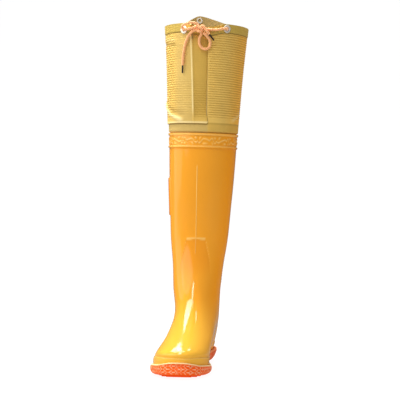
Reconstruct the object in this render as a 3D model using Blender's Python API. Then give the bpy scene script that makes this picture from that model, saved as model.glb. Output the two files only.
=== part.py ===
# Hip wader, the wearer's right boot, standing empty on its sole.
# Metres, +Z up, toe towards -Y, the leg's inner side towards +X.
# The origin is the middle of the heel's flat tread.

import math

import bmesh
import bpy
import numpy as np

# Foot
SHELL_LENGTH = 0.275
HEEL_BACK = 0.038
BALL_WIDTH = 0.094
INSTEP_HEIGHT = 0.160
FEATHER_SAG = 0.0090
SAG_SKEW = 1.6
SHELL_WALL = 0.0022
RAND_STEP = 0.0011

# Shaft of the boot and the cloth cuff above it
BOOT_TOP = 0.4185
SHAFT_WIDTH = 0.1245
SHAFT_DEPTH = 0.145
CALF_BACK = 0.065
LEAN = 0.036
INSTEP_SHIFT = 0.0045
RING_TILT = 0.028
BAND_HEIGHT = 0.026
LIP_HEIGHT = 0.0034
LIP_STEP = 0.0017

# Raised plate on the outer side
PLATE_MIDDLE = 0.306
PLATE_HEIGHT = 0.064
PLATE_WIDTH = 0.046
PLATE_STEP = 0.0023
PLATE_TURN = -88.0

# Cuff
CUFF_RISE = 0.1945
CUFF_WIDTH = 0.1475
CUFF_DEPTH = 0.174
CUFF_WALL = 0.0013
CUFF_TUCK = 0.012
CUFF_BAND = 0.018
CUFF_SWELL = 0.0010
CUFF_FLARE = 0.0063
CUFF_FRONT_SHARE = 0.38
OVERLAP_STEP = 0.0024
OVERLAP_EDGE = 0.0014
BACK_PEAK = 0.034
PEAK_TURN = -160.0
PEAK_ROUND = 0.1
FRONT_DIP = 0.007
HEM_DEPTH = 0.016
HEM_STEP = 0.0008
HEM_EDGE = 0.0013
PLEAT_DEPTH = 0.0055
PLEAT_RIDGE = 0.0022
PLEAT_LEFT = -10.0
PLEAT_RIGHT = 9.0
PLEAT_FLANK = 26.0
PLEAT_FOLD = 3.0
PLEAT_START = 0.011
PLEAT_FULL = 0.040
PLEAT_GATHER = 0.45
GATHER_START = 0.136

# Sole
SOLE_LEDGE = 0.0038
SOLE_TUCK = 0.0045
HEEL_TAPER = 0.0055
SOLE_BEVEL = 0.0002
LUG_DEPTH = 0.0034
WAIST_RISE = 0.0045
TOE_SPRING = 0.0058
SPRING_START = 0.78
WAIST_BACK = (0.27, 0.36)
WAIST_FRONT = (0.36, 0.50)
LIP_RISE = 0.0022
WAVE_RISE = 0.0062
WAVE_TURNS = (4.0, 40.0)
RIB_DEPTH = 0.0007
INSOLE_THICK = 0.0028

# Eyelets and drawcord
EYELET_FLANGE = 0.0072
EYELET_WASHER = 0.0056
EYELET_BORE = 0.0030
EYELET_WALL = 0.0007
EYELET_PLATE = 0.0009
EYELET_DROP = 0.0085
LATERAL_DROP = 0.0120
EYELET_LATERAL_TURN = -22.0
EYELET_MEDIAL_TURN = 36.0
CORD = 0.0046
AGLET = 0.0030
AGLET_LENGTH = 0.014
BAR_OUT = 0.0044
KNOT_WAIST = 0.18
KNOT_WIDTH = 0.0115
KNOT_DEPTH = 0.0090
KNOT_DROP = 0.0040
KNOT_HEIGHT = 0.0150

# Clearances between pieces, and the mesh's fineness
GAP = 0.0003
LIP_GAP = 0.0005
HOLE_GAP = 0.0005
FLANGE_GAP = 0.0006
TUCK_GAP = 0.0005
COLUMNS = 52
ROUND_SIDES = 12

# Rings of the foot, from the feather edge to the ankle. Front and back give the profile: reach is the
# distance ahead of the heel's back, a share of SHELL_LENGTH, and z a share of INSTEP_HEIGHT. The five
# half widths are shares of half BALL_WIDTH, from the ring's back end to its front end.
# front reach, front z, back reach, back z, heel end, heel, waist, ball, toe end, squareness, sag
FOOT_RINGS = (
    (0.990, 0.138, 0.008, 0.150, 0.89, 0.78, 0.62, 1.03, 1.06, 2.40, 1.00),
    (1.000, 0.212, 0.000, 0.212, 0.93, 0.82, 0.67, 1.06, 1.08, 2.40, 0.90),
    (0.989, 0.284, 0.000, 0.275, 0.93, 0.85, 0.73, 1.03, 1.02, 2.35, 0.60),
    (0.925, 0.352, 0.002, 0.344, 0.91, 0.86, 0.76, 0.95, 0.92, 2.30, 0.25),
    (0.800, 0.436, 0.008, 0.419, 0.89, 0.87, 0.80, 0.87, 0.80, 2.25, 0.00),
    (0.664, 0.537, 0.018, 0.500, 0.88, 0.87, 0.83, 0.81, 0.74, 2.20, 0.00),
    (0.540, 0.662, 0.030, 0.594, 0.87, 0.87, 0.85, 0.79, 0.72, 2.15, 0.00),
    (0.449, 0.812, 0.040, 0.706, 0.88, 0.89, 0.89, 0.85, 0.80, 2.10, 0.00),
)

# Rings of the shaft. Front is the distance ahead of the line through CALF_BACK, a share of
# SHAFT_DEPTH, back the same, z a share of BOOT_TOP, and width a share of SHAFT_WIDTH.
# front, front z, back, back z, width, squareness
SHAFT_RINGS = (
    (0.924, 0.384, 0.266, 0.324, 0.705, 2.10),
    (0.876, 0.467, 0.248, 0.413, 0.755, 2.08),
    (0.869, 0.560, 0.207, 0.520, 0.840, 2.06),
    (0.903, 0.668, 0.138, 0.648, 0.890, 2.06),
    (0.945, 0.775, 0.076, 0.768, 0.938, 2.06),
    (0.979, 0.892, 0.028, 0.892, 0.975, 2.06),
    (1.000, 1.000, 0.000, 1.000, 1.000, 2.06),
)

# Rings of the cuff, from just above the boot's top. z is a share of CUFF_RISE, and width, front and
# back say how far the form has opened from the boot's top to the cuff's rim.
# z, width, front, back
CUFF_RINGS = (
    (0.340, 0.26, 0.31, 0.28),
    (0.670, 0.58, 0.63, 0.61),
    (1.000, 1.00, 1.00, 1.00),
    (1.230, 1.22, 1.15, 1.20),
)

# Sideways swing of the last, to the inner side, along its length: share of SHELL_LENGTH, share of
# BALL_WIDTH.
LAST_SWING = (
    (0.00, 0.020),
    (0.15, 0.005),
    (0.40, -0.060),
    (0.69, -0.045),
    (0.86, -0.015),
    (1.00, 0.025),
)

# Side of the sole below its ledge: share of the height over the tread, reach beyond the feather edge
# and share of a rib's depth.
SOLE_SIDE = (
    (0.75, 0.0054, 1.0),
    (0.38, 0.0050, 1.0),
    (0.00, 0.0004, 0.0),
)

# Tread bars: the heel's lie a pitch apart on both sides of the origin, and the forefoot's run from a
# share of SHELL_LENGTH to another. The sweep of their chevrons is a share of a bar's half width.
HEEL_BAR_PITCH = 0.0138
HEEL_BARS_EACH_SIDE = 2
FORE_BARS = 9
FORE_FIRST = 0.50
FORE_LAST = 0.935
FORE_SWEEP = 0.16
BAR_WIDTH = 0.0075
BAR_INSET = 0.0070
BAR_ROOT = 0.0015

# Routes of the drawcord in millimetres: across from the knot to the inner side, down from it, and out
# from the cuff's form.
BAR_ROUTE = (
    (-30.5, 2.4, 11.0), (-26.0, 1.6, 11.0), (-20.0, 0.9, 10.7), (-14.0, 0.5, 10.2), (-9.0, 0.5, 8.2),
    (-5.0, 0.6, 5.0), (0.0, 0.8, 3.9), (7.0, 1.2, 3.9), (12.0, 1.7, 4.3), (17.0, 2.3, 4.9),
    (23.0, 2.6, 5.5), (31.0, 2.0, 6.8), (37.0, 0.7, 8.0), (43.0, -1.0, 9.2),
)
LOOP_LOW_ROUTE = (
    (2.0, 9.0, 9.6), (-0.2, 14.0, 7.8), (-2.3, 20.5, 6.4), (-1.8, 28.0, 5.4), (2.4, 34.6, 4.8),
    (9.0, 36.6, 4.8), (15.0, 32.4, 5.2), (17.0, 25.0, 6.2), (14.4, 17.8, 8.2), (10.0, 12.6, 10.6),
    (6.1, 8.8, 12.6),
)
LOOP_SIDE_ROUTE = (
    (-5.4, -1.9, 13.0), (-10.5, -0.2, 15.2), (-17.0, 1.2, 16.4), (-23.6, 2.0, 17.0), (-29.0, 1.4, 17.8),
    (-31.8, -1.8, 19.8), (-29.4, -5.2, 21.8), (-23.6, -7.2, 22.2), (-16.4, -8.6, 21.4), (-9.2, -8.2, 18.8),
    (-3.2, -5.6, 15.4),
)
END_LONG_ROUTE = (
    (-5.7, 3.1, 12.6), (-10.5, 4.6, 12.6), (-15.5, 7.0, 12.2), (-20.2, 11.8, 11.6), (-24.6, 19.2, 11.1),
    (-28.0, 27.8, 10.5), (-30.4, 37.0, 10.0), (-31.8, 46.0, 9.7), (-32.8, 55.0, 9.6), (-33.2, 64.0, 9.6),
)
END_SHORT_ROUTE = (
    (7.0, -1.3, 12.8), (10.0, 2.7, 13.2), (13.0, 7.2, 12.4), (15.9, 11.0, 11.2),
)


def smooth_step(low, high, x):
    """0 below low, 1 above high, with level ends."""
    t = np.clip((np.asarray(x, float) - low) / (high - low), 0.0, 1.0)
    return t * t * (3.0 - 2.0 * t)


def spline(knots, values):
    """The natural cubic through values, which has one row for each knot."""
    knots = np.asarray(knots, float)
    values = np.asarray(values, float)
    gaps = np.diff(knots)
    slopes = np.diff(values, axis=0) / gaps[:, None]
    count = len(knots)
    system = np.eye(count)
    sides = np.zeros_like(values)
    for i in range(1, count - 1):
        system[i, i - 1] = gaps[i - 1]
        system[i, i] = 2.0 * (gaps[i - 1] + gaps[i])
        system[i, i + 1] = gaps[i]
        sides[i] = 6.0 * (slopes[i] - slopes[i - 1])
    bends = np.linalg.solve(system, sides)

    def at(x):
        x = np.clip(np.asarray(x, float), knots[0], knots[-1])
        i = np.clip(np.searchsorted(knots, x, side="right") - 1, 0, count - 2)
        span = gaps[i][..., None]
        a = (knots[i + 1] - x)[..., None] / span
        b = 1.0 - a
        bend = (a ** 3 - a) * bends[i] + (b ** 3 - b) * bends[i + 1]
        return a * values[i] + b * values[i + 1] + bend * span ** 2 / 6.0

    return at


def ring_rows():
    """All rings in metres: front y, front z, back y, back z, five half widths, squareness, sag."""
    rows = []
    for front, front_z, back, back_z, *rest in FOOT_RINGS:
        halves = [share * BALL_WIDTH / 2 for share in rest[:5]]
        rows.append([HEEL_BACK - front * SHELL_LENGTH, front_z * INSTEP_HEIGHT,
                     HEEL_BACK - back * SHELL_LENGTH, back_z * INSTEP_HEIGHT, *halves, rest[5], rest[6]])
    for front, front_z, back, back_z, width, square in SHAFT_RINGS:
        rows.append([CALF_BACK - front * SHAFT_DEPTH, front_z * BOOT_TOP,
                     CALF_BACK - back * SHAFT_DEPTH, back_z * BOOT_TOP,
                     *[width * SHAFT_WIDTH / 2] * 5, square, 0.0])
    front_top, _, back_top, _ = rows[-1][:4]
    opening = CUFF_DEPTH - SHAFT_DEPTH
    behind = 1.0 - CUFF_FRONT_SHARE
    for z, width, front, back in CUFF_RINGS:
        height = BOOT_TOP + z * CUFF_RISE
        half = (SHAFT_WIDTH + width * (CUFF_WIDTH - SHAFT_WIDTH)) / 2
        rows.append([front_top - front * opening * CUFF_FRONT_SHARE, height,
                     back_top + back * opening * behind, height, *[half] * 5, SHAFT_RINGS[-1][-1], 0.0])
    return rows


RINGS = ring_rows()
TOP_RING = len(FOOT_RINGS) + len(SHAFT_RINGS) - 1
ring_at = spline(range(len(RINGS)), RINGS)
share_basis = spline((0.0, 0.2, 0.42, 0.7, 1.0), np.eye(5))
swing_at = spline([row[0] for row in LAST_SWING], [[row[1]] for row in LAST_SWING])
FINE_RINGS = np.linspace(0, len(RINGS) - 1, 2000)
FINE_HEIGHTS = ring_at(FINE_RINGS)[:, 1]


def ring_of(height):
    """The ring whose front lies at this height."""
    return np.interp(height, FINE_HEIGHTS, FINE_RINGS)


def form(ring, turn):
    """Points on the boot's smooth outer form. turn is in degrees, from the front to the inner side."""
    ring, turn = np.broadcast_arrays(np.asarray(ring, float), np.radians(np.asarray(turn, float)))
    row = ring_at(ring)
    power = 2.0 / row[..., 9]
    along = np.sign(np.cos(turn)) * np.abs(np.cos(turn)) ** power
    across = np.sign(np.sin(turn)) * np.abs(np.sin(turn)) ** power
    share = (1.0 + along) / 2.0
    y = row[..., 2] + (row[..., 0] - row[..., 2]) * share
    z = row[..., 3] + (row[..., 1] - row[..., 3]) * share
    z = z - row[..., 10] * FEATHER_SAG * np.sin(math.pi * share ** SAG_SKEW) ** 2
    half = (share_basis(share) * row[..., 4:9]).sum(-1)
    swing = swing_at((HEEL_BACK - y) / SHELL_LENGTH)[..., 0] * BALL_WIDTH
    risen = smooth_step(0.12, 0.40, z / INSTEP_HEIGHT)
    swing = swing * (1.0 - risen) + INSTEP_SHIFT * risen * (1.0 - smooth_step(0.5, 0.9, z / INSTEP_HEIGHT))
    tilt = RING_TILT * smooth_step(INSTEP_HEIGHT, BOOT_TOP, z) * across * half
    return np.stack([across * half + swing + LEAN * z, y, z - tilt], -1)


def form_normal(ring, turn):
    """Outward unit normals of the form."""
    step = 0.01
    up = form(ring + step, turn) - form(np.maximum(ring - step, 0.0), turn)
    around = form(ring, turn + step) - form(ring, turn - step)
    normal = np.cross(around, up)
    return normal / np.linalg.norm(normal, axis=-1, keepdims=True)


def wrapped(turn):
    """The turn brought between -180 and 180 degrees."""
    return (np.asarray(turn, float) + 180.0) % 360.0 - 180.0


# Rings of the upper's steps
RAND_RING = 1.20
STEP_RINGS = 0.07
BAND_RING = float(ring_of(BOOT_TOP - BAND_HEIGHT))
LIP_RINGS = float(TOP_RING - ring_of(BOOT_TOP - LIP_HEIGHT))
EDGE_RINGS = LIP_RINGS * 0.3
PLATE_LOW = float(ring_of(PLATE_MIDDLE - PLATE_HEIGHT / 2))
PLATE_HIGH = float(ring_of(PLATE_MIDDLE + PLATE_HEIGHT / 2))
PLATE_HALF_TURN = math.degrees(PLATE_WIDTH / SHAFT_DEPTH)
PLATE_EDGE_TURN = 2.0


def upper_relief(ring, turn):
    """How far the upper's wall stands out from the form: rand, lips of the top band, side plate."""
    relief = RAND_STEP * (1.0 - smooth_step(RAND_RING, RAND_RING + STEP_RINGS, ring))
    lip = smooth_step(BAND_RING - EDGE_RINGS, BAND_RING, ring)
    lip = lip * (1.0 - smooth_step(BAND_RING + LIP_RINGS, BAND_RING + LIP_RINGS + EDGE_RINGS, ring))
    top = smooth_step(TOP_RING - LIP_RINGS - EDGE_RINGS, TOP_RING - LIP_RINGS, ring)
    relief = relief + LIP_STEP * (lip + top)
    inside = smooth_step(PLATE_LOW - EDGE_RINGS, PLATE_LOW, ring)
    inside = inside * (1.0 - smooth_step(PLATE_HIGH, PLATE_HIGH + EDGE_RINGS, ring))
    off = np.abs(wrapped(turn - PLATE_TURN))
    inside = inside * (1.0 - smooth_step(PLATE_HALF_TURN, PLATE_HALF_TURN + PLATE_EDGE_TURN, off))
    return relief + PLATE_STEP * inside


def upper_outer(ring, turn):
    return form(ring, turn) + form_normal(ring, turn) * upper_relief(ring, turn)[..., None]


def upper_inner(ring, turn):
    return form(ring, turn) - form_normal(ring, turn) * SHELL_WALL


def rim_height(turn):
    """Height of the cuff's rim: a tent's peak at the back, and a dip between the front eyelets."""
    across = np.sin(np.radians(turn))
    top = math.sin(math.radians(PEAK_TURN))
    off = np.where(across < top, (top - across) / (top + 1.0), (across - top) / (1.0 - top))
    behind = np.cos(np.radians(turn)) < 0.0
    peak = BACK_PEAK * behind * (1.0 - np.sqrt(off ** 2 + PEAK_ROUND ** 2)) / (1.0 - PEAK_ROUND)
    peak = np.maximum(peak, 0.0)
    middle = (EYELET_LATERAL_TURN + EYELET_MEDIAL_TURN) / 2
    reach = (EYELET_MEDIAL_TURN - EYELET_LATERAL_TURN) / 2
    near = np.clip(np.abs(wrapped(turn - middle)) / reach, 0.0, 1.0)
    return BOOT_TOP + CUFF_RISE + peak - FRONT_DIP * (1.0 - near ** 2) ** 2


def pleat(height, turn):
    """The cuff's front pleat: a ridge at its outer edge, then a strip set back as far as its inner one."""
    rise = height - BOOT_TOP
    grow = smooth_step(PLEAT_START, PLEAT_FULL, rise)
    gather = 1.0 + PLEAT_GATHER * smooth_step(GATHER_START, CUFF_RISE, rise)
    turn = wrapped(turn)
    ridge = smooth_step(PLEAT_LEFT - PLEAT_FLANK, PLEAT_LEFT, turn)
    ridge = ridge * (1.0 - smooth_step(PLEAT_LEFT, PLEAT_LEFT + PLEAT_FOLD, turn))
    strip = smooth_step(PLEAT_LEFT, PLEAT_LEFT + PLEAT_FOLD, turn)
    strip = strip * (1.0 - smooth_step(PLEAT_RIGHT, PLEAT_RIGHT + PLEAT_FOLD, turn))
    return grow * (PLEAT_RIDGE * ridge - PLEAT_DEPTH * gather * strip)


def cuff_relief(height, turn):
    """How far the cuff's outer face stands out from the form at this height."""
    tucked = -(SHELL_WALL + TUCK_GAP)
    out = smooth_step(BOOT_TOP, BOOT_TOP + CUFF_FLARE, height)
    relief = tucked + (CUFF_SWELL - tucked) * out
    overlap = smooth_step(BOOT_TOP + CUFF_BAND, BOOT_TOP + CUFF_BAND + OVERLAP_EDGE, height)
    turn = wrapped(turn)
    side = smooth_step(-180.0, -150.0, turn)
    side = side * (1.0 - smooth_step(PLEAT_RIGHT, PLEAT_RIGHT + PLEAT_FOLD, turn))
    relief = relief + OVERLAP_STEP * overlap * side
    hem = rim_height(turn) - HEM_DEPTH
    relief = relief + HEM_STEP * smooth_step(hem, hem + HEM_EDGE, height)
    return relief + pleat(height, turn)


def cuff_outer(height, turn):
    ring = ring_of(height)
    return form(ring, turn) + form_normal(ring, turn) * cuff_relief(height, turn)[..., None]


def cuff_inner(height, turn):
    """The inner face, one wall inside the outer face along its own normal."""
    high = cuff_outer(height + 0.002, turn) - cuff_outer(height - 0.002, turn)
    wide = cuff_outer(height, turn + 1.0) - cuff_outer(height, turn - 1.0)
    normal = np.cross(wide, high)
    normal = normal / np.linalg.norm(normal, axis=-1, keepdims=True)
    hem = rim_height(turn) - HEM_DEPTH
    wall = CUFF_WALL + HEM_STEP * smooth_step(hem, hem + HEM_EDGE, height)
    return cuff_outer(height, turn) - normal * wall[..., None]


def material(name, colour, roughness, metallic=0.0):
    made = bpy.data.materials.new(name)
    made.use_nodes = True
    shader = made.node_tree.nodes["Principled BSDF"]
    shader.inputs["Base Color"].default_value = (*colour, 1.0)
    shader.inputs["Roughness"].default_value = roughness
    shader.inputs["Metallic"].default_value = metallic
    return made


def add_object(name, points, faces, finish, crease=35.0):
    """An object from points and faces, with its faces turned outwards."""
    mesh = bpy.data.meshes.new(name)
    mesh.from_pydata([tuple(p) for p in points], [], faces)
    work = bmesh.new()
    work.from_mesh(mesh)
    bmesh.ops.recalc_face_normals(work, faces=work.faces)
    if work.calc_volume(signed=True) < 0:
        bmesh.ops.reverse_faces(work, faces=work.faces)
    work.to_mesh(mesh)
    work.free()
    mesh.shade_smooth()
    mesh.set_sharp_from_angle(angle=math.radians(crease))
    mesh.materials.append(finish)
    made = bpy.data.objects.new(name, mesh)
    bpy.context.scene.collection.objects.link(made)
    return made


def ring_faces(rings, columns, closed):
    """Quads between neighbouring rings of points, and from the last ring to the first when closed."""
    faces = []
    last = rings if closed else rings - 1
    for i in range(last):
        low = i * columns
        high = (i + 1) % rings * columns
        for j in range(columns):
            k = (j + 1) % columns
            faces.append((low + j, low + k, high + k, high + j))
    return faces


def ladder_faces(first, columns):
    """A cap on one ring: quads between the two sides, which mirror each other, and the two ends."""
    half = columns // 2
    faces = [(first, first + 1, first + columns - 1)]
    for j in range(1, half - 1):
        faces.append((first + j, first + j + 1, first + columns - j - 1, first + columns - j))
    faces.append((first + half - 1, first + half, first + half + 1))
    return faces


EVEN_TURNS = np.arange(COLUMNS) * 360.0 / COLUMNS


def turns_with(extra):
    """The even turns and some of a piece's own, without even ones that nearly meet those."""
    extra = np.asarray(extra, float) % 360.0
    even = [t for t in EVEN_TURNS if np.min(np.abs(wrapped(extra - t))) > 1.4]
    return np.sort(np.concatenate([even, extra]))


def make_upper(finish):
    """The moulded boot: foot and shaft in one wall, open at its top and along the feather edge."""
    edges = [PLATE_HALF_TURN, PLATE_HALF_TURN + PLATE_EDGE_TURN]
    turns = turns_with([PLATE_TURN + side * edge for side in (-1, 1) for edge in edges])
    foot = [0.0, 0.6, RAND_RING, 1.6, 2.0, 2.5, 3.0, 3.5, 4.0, 4.5, 5.0, 6.0, 7.0, 8.0, 9.0, 10.0]
    steps = [RAND_RING + STEP_RINGS]
    for edge in (PLATE_LOW - EDGE_RINGS, PLATE_HIGH, BAND_RING - EDGE_RINGS, BAND_RING + LIP_RINGS):
        steps += [edge, edge + EDGE_RINGS]
    steps += [TOP_RING - LIP_RINGS - EDGE_RINGS, TOP_RING - LIP_RINGS]
    shaft = [11.0, 12.0, 13.0, float(TOP_RING)]
    outer = [upper_outer(ring, turns) for ring in sorted(foot + steps + shaft)]
    inner = [upper_inner(ring, turns) for ring in reversed(foot + shaft)]
    points = np.concatenate(outer + inner)
    faces = ring_faces(len(outer) + len(inner), len(turns), True)
    return add_object("upper", points, faces, finish)


def make_cuff(finish, holes):
    """The cloth tube: tucked into the boot's top, overlapped above its band, pleated and hemmed."""
    turns = turns_with([
        PLEAT_LEFT - PLEAT_FOLD, PLEAT_LEFT, PLEAT_LEFT + PLEAT_FOLD,
        PLEAT_RIGHT, PLEAT_RIGHT + PLEAT_FOLD, PEAK_TURN,
    ])
    rises = [-CUFF_TUCK, 0.0, CUFF_FLARE / 2, CUFF_FLARE, CUFF_BAND, CUFF_BAND + OVERLAP_EDGE, PLEAT_FULL]
    level = [BOOT_TOP + rise for rise in rises]
    plain = [level[0], level[1], level[3], level[5], level[6]]
    body = np.linspace(level[-1], BOOT_TOP + CUFF_RISE - 2 * HEM_DEPTH, 4)[1:]
    rim = rim_height(turns)
    hem = [rim - HEM_DEPTH, rim - HEM_DEPTH + HEM_EDGE, rim - HEM_DEPTH / 2, rim]
    outer = [cuff_outer(np.full(len(turns), h), turns) for h in [*level, *body]]
    outer += [cuff_outer(h, turns) for h in hem]
    inner = [cuff_inner(h, turns) for h in reversed(hem)]
    inner += [cuff_inner(np.full(len(turns), h), turns) for h in reversed([*plain, *body])]
    points = np.concatenate(outer + inner)
    cuff = add_object("cuff", points, ring_faces(len(outer) + len(inner), len(turns), True), finish)
    for hole in holes:
        cut(cuff, hole, "DIFFERENCE")
    return cuff


def cut(target, tool, operation):
    """A Boolean of target with a hidden tool."""
    tool.hide_render = True
    tool.display_type = "WIRE"
    change = target.modifiers.new(tool.name, "BOOLEAN")
    change.operation = operation
    change.solver = "EXACT"
    change.object = tool


def tread_height(y):
    """Height of the tread line: flat heel, raised waist, flat forefoot, toe spring."""
    share = (HEEL_BACK - y) / SHELL_LENGTH
    waist = smooth_step(*WAIST_BACK, share) * (1.0 - smooth_step(*WAIST_FRONT, share))
    spring = np.clip((share - SPRING_START) / (1.0 - SPRING_START), 0.0, 1.0)
    return WAIST_RISE * waist + TOE_SPRING * spring ** 2


def outward(turns):
    """Level outward directions round the feather edge."""
    along = form(0.0, turns + 0.5) - form(0.0, turns - 0.5)
    level = np.stack([along[:, 1], -along[:, 0], np.zeros(len(turns))], -1)
    return level / np.linalg.norm(level, axis=1, keepdims=True)


def sole_lip(turn):
    """How high the sole's lip stands on the upper: low all round, with a wave at the toe."""
    off = np.abs(wrapped(turn))
    return LIP_RISE + WAVE_RISE * (1.0 - smooth_step(*WAVE_TURNS, off))


def make_outsole(finish):
    """The sole: a tray for the upper's edge, with a bulging ribbed side and tread bars."""
    turns = EVEN_TURNS
    out = outward(turns)
    edge = upper_outer(0.0, turns)
    top = edge + out * LIP_GAP
    top[:, 2] = edge[:, 2] - GAP
    lip_ring = sole_lip(turns) / (FOOT_RINGS[1][1] - FOOT_RINGS[0][1]) / INSTEP_HEIGHT
    lip = upper_outer(lip_ring, turns) + form_normal(lip_ring, turns) * LIP_GAP
    half_lip = upper_outer(lip_ring / 2, turns) + form_normal(lip_ring / 2, turns) * LIP_GAP
    ledge = lip + out * SOLE_LEDGE
    rib = RIB_DEPTH * (np.arange(len(turns)) % 2)
    low = tread_height(edge[:, 1]) + LUG_DEPTH
    height = edge[:, 2] - low
    sides = []
    taper = HEEL_TAPER * (1.0 - smooth_step(*WAIST_BACK, (HEEL_BACK - edge[:, 1]) / SHELL_LENGTH))
    for share, reach, ribbed in SOLE_SIDE:
        ring = edge + out * (reach + rib * ribbed - taper * (1.0 - share / SOLE_SIDE[0][0]))[:, None]
        ring[:, 2] = low + share * height
        sides.append(ring)
    base = edge - out * (SOLE_TUCK + taper)[:, None]
    base[:, 2] = low - SOLE_BEVEL
    rings = [top, half_lip, lip, ledge, *sides, base]
    faces = ring_faces(len(rings), len(turns), False)
    faces += ladder_faces(0, len(turns))
    faces += ladder_faces((len(rings) - 1) * len(turns), len(turns))
    sole = add_object("outsole", np.concatenate(rings), faces, finish)
    cut(sole, tread_bars(), "UNION")
    return sole


def sole_sides(y):
    """The feather edge's inner and outer x at this y."""
    fine = np.linspace(1.0, 179.0, 400)
    inner = form(0.0, fine)
    outer = form(0.0, -fine)
    return float(np.interp(y, inner[:, 1], inner[:, 0])), float(np.interp(y, outer[:, 1], outer[:, 0]))


def tread_bars():
    """The bars of the heel and forefoot as one hidden solid, each bar a chevron with a flat foot."""
    heel = [k * HEEL_BAR_PITCH for k in range(-HEEL_BARS_EACH_SIDE, HEEL_BARS_EACH_SIDE + 1)]
    fore = HEEL_BACK - np.linspace(FORE_FIRST, FORE_LAST, FORE_BARS) * SHELL_LENGTH
    points, faces = [], []
    for y, sweep in [(y, 0.0) for y in heel] + [(y, FORE_SWEEP) for y in fore]:
        inner, outer = sole_sides(y)
        middle = (inner + outer) / 2
        half = (inner - outer) / 2 - BAR_INSET
        front = [(-1.0, sweep), (0.0, 0.0), (1.0, sweep)]
        outline = [(middle + side * half, y + back * half - BAR_WIDTH / 2) for side, back in front]
        outline += [(x, front_y + BAR_WIDTH) for x, front_y in reversed(outline)]
        first = len(points)
        count = len(outline)
        for rise in (0.0, LUG_DEPTH + BAR_ROOT):
            points += [(x, bar_y, float(tread_height(bar_y)) + rise) for x, bar_y in outline]
        faces += [(first + a, first + b, first + count + b, first + count + a)
                  for a, b in zip(range(count), [*range(1, count), 0])]
        for level in (first, first + count):
            faces.append((level, level + 1, level + 4, level + 5))
            faces.append((level + 1, level + 2, level + 3, level + 4))
    return add_object("tread_bars", points, faces, bpy.data.materials["sole rubber"])


def make_insole(finish):
    turns = EVEN_TURNS
    edge = upper_inner(0.0, turns) - outward(turns) * 2 * GAP
    low = edge.copy()
    low[:, 2] = upper_outer(0.0, turns)[:, 2]
    high = low.copy()
    high[:, 2] += INSOLE_THICK
    faces = ring_faces(2, len(turns), False)
    faces += ladder_faces(0, len(turns))
    faces += ladder_faces(len(turns), len(turns))
    return add_object("insole", np.concatenate([low, high]), faces, finish)


def axis_frame(centre, normal):
    """A matrix whose Z runs along normal, at centre."""
    up = np.array([0.0, 0.0, 1.0])
    side = np.cross(up, normal)
    side = side / np.linalg.norm(side)
    top = np.cross(normal, side)
    frame = np.eye(4)
    frame[:3, 0], frame[:3, 1], frame[:3, 2], frame[:3, 3] = side, top, normal, centre
    return frame


def turned(name, profile, frame, finish, sides=ROUND_SIDES):
    """A body turned about the frame's Z from a profile of (radius, z), closed on itself."""
    points = []
    for radius, z in profile:
        for j in range(sides):
            angle = 2.0 * math.pi * j / sides
            local = np.array([radius * math.cos(angle), radius * math.sin(angle), z, 1.0])
            points.append((frame @ local)[:3])
    return add_object(name, points, ring_faces(len(profile), sides, True), finish)


def eyelet_place(turn, drop=EYELET_DROP):
    """The eyelet's frame on the hem's outer face, and the hem's thickness there."""
    turn = np.array([turn])
    height = rim_height(turn) - drop
    face = cuff_outer(height, turn)[0]
    back = cuff_inner(height, turn)[0]
    wall = float(np.linalg.norm(face - back))
    return axis_frame(face, (face - back) / wall), wall


def make_eyelet(name, turn, drop, finish):
    """A turned eyelet, flanged on both faces of the hem, and the hidden tool for its hole."""
    frame, wall = eyelet_place(turn, drop)
    front = FLANGE_GAP
    back = -wall - FLANGE_GAP
    tube = EYELET_BORE + EYELET_WALL
    profile = [
        (EYELET_BORE, back - EYELET_PLATE), (EYELET_WASHER, back - EYELET_PLATE), (EYELET_WASHER, back),
        (tube, back), (tube, front), (EYELET_FLANGE, front),
        (EYELET_FLANGE * 0.93, front + EYELET_PLATE * 0.7),
        (EYELET_FLANGE * 0.7, front + EYELET_PLATE * 1.2), (EYELET_BORE, front + EYELET_PLATE),
    ]
    eyelet = turned(name, profile, frame, finish)
    radius = tube + HOLE_GAP
    sides = ROUND_SIDES
    points, faces = [], []
    for z in (-2 * wall, wall):
        for j in range(sides):
            angle = 2.0 * math.pi * j / sides
            local = np.array([radius * math.cos(angle), radius * math.sin(angle), z, 1.0])
            points.append((frame @ local)[:3])
    faces = ring_faces(2, sides, False)
    faces += [tuple(range(sides)), tuple(range(sides, 2 * sides))]
    return eyelet, add_object(name + "_hole", points, faces, finish)


def cord_route(route):
    """A route's points in metres, out from the cuff's form at the knot's place on its front."""
    knot_height = float(rim_height(0.0)) - KNOT_DROP
    centre = form(ring_of(knot_height), np.array([0.0]))[0]
    points = []
    for across, down, out in route:
        x = centre[0] + across * 0.001
        z = knot_height - down * 0.001
        turns = np.linspace(-60.0, 60.0, 241)
        line = form(ring_of(min(z, BOOT_TOP + 1.15 * CUFF_RISE)), turns)
        y = float(np.interp(x, line[:, 0], line[:, 1]))
        points.append((x, y - out * 0.001, z))
    return np.array(points)


def evenly(points, spacing):
    """Points about a spacing apart on the smooth curve through the given ones."""
    curve = spline(np.arange(len(points)), points)
    fine = curve(np.linspace(0, len(points) - 1, 400))
    reach = np.concatenate([[0.0], np.cumsum(np.linalg.norm(np.diff(fine, axis=0), axis=1))])
    count = max(4, int(round(reach[-1] / spacing)) + 1)
    wanted = np.linspace(0.0, reach[-1], count)
    return np.stack([np.interp(wanted, reach, fine[:, k]) for k in range(3)], -1)


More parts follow.
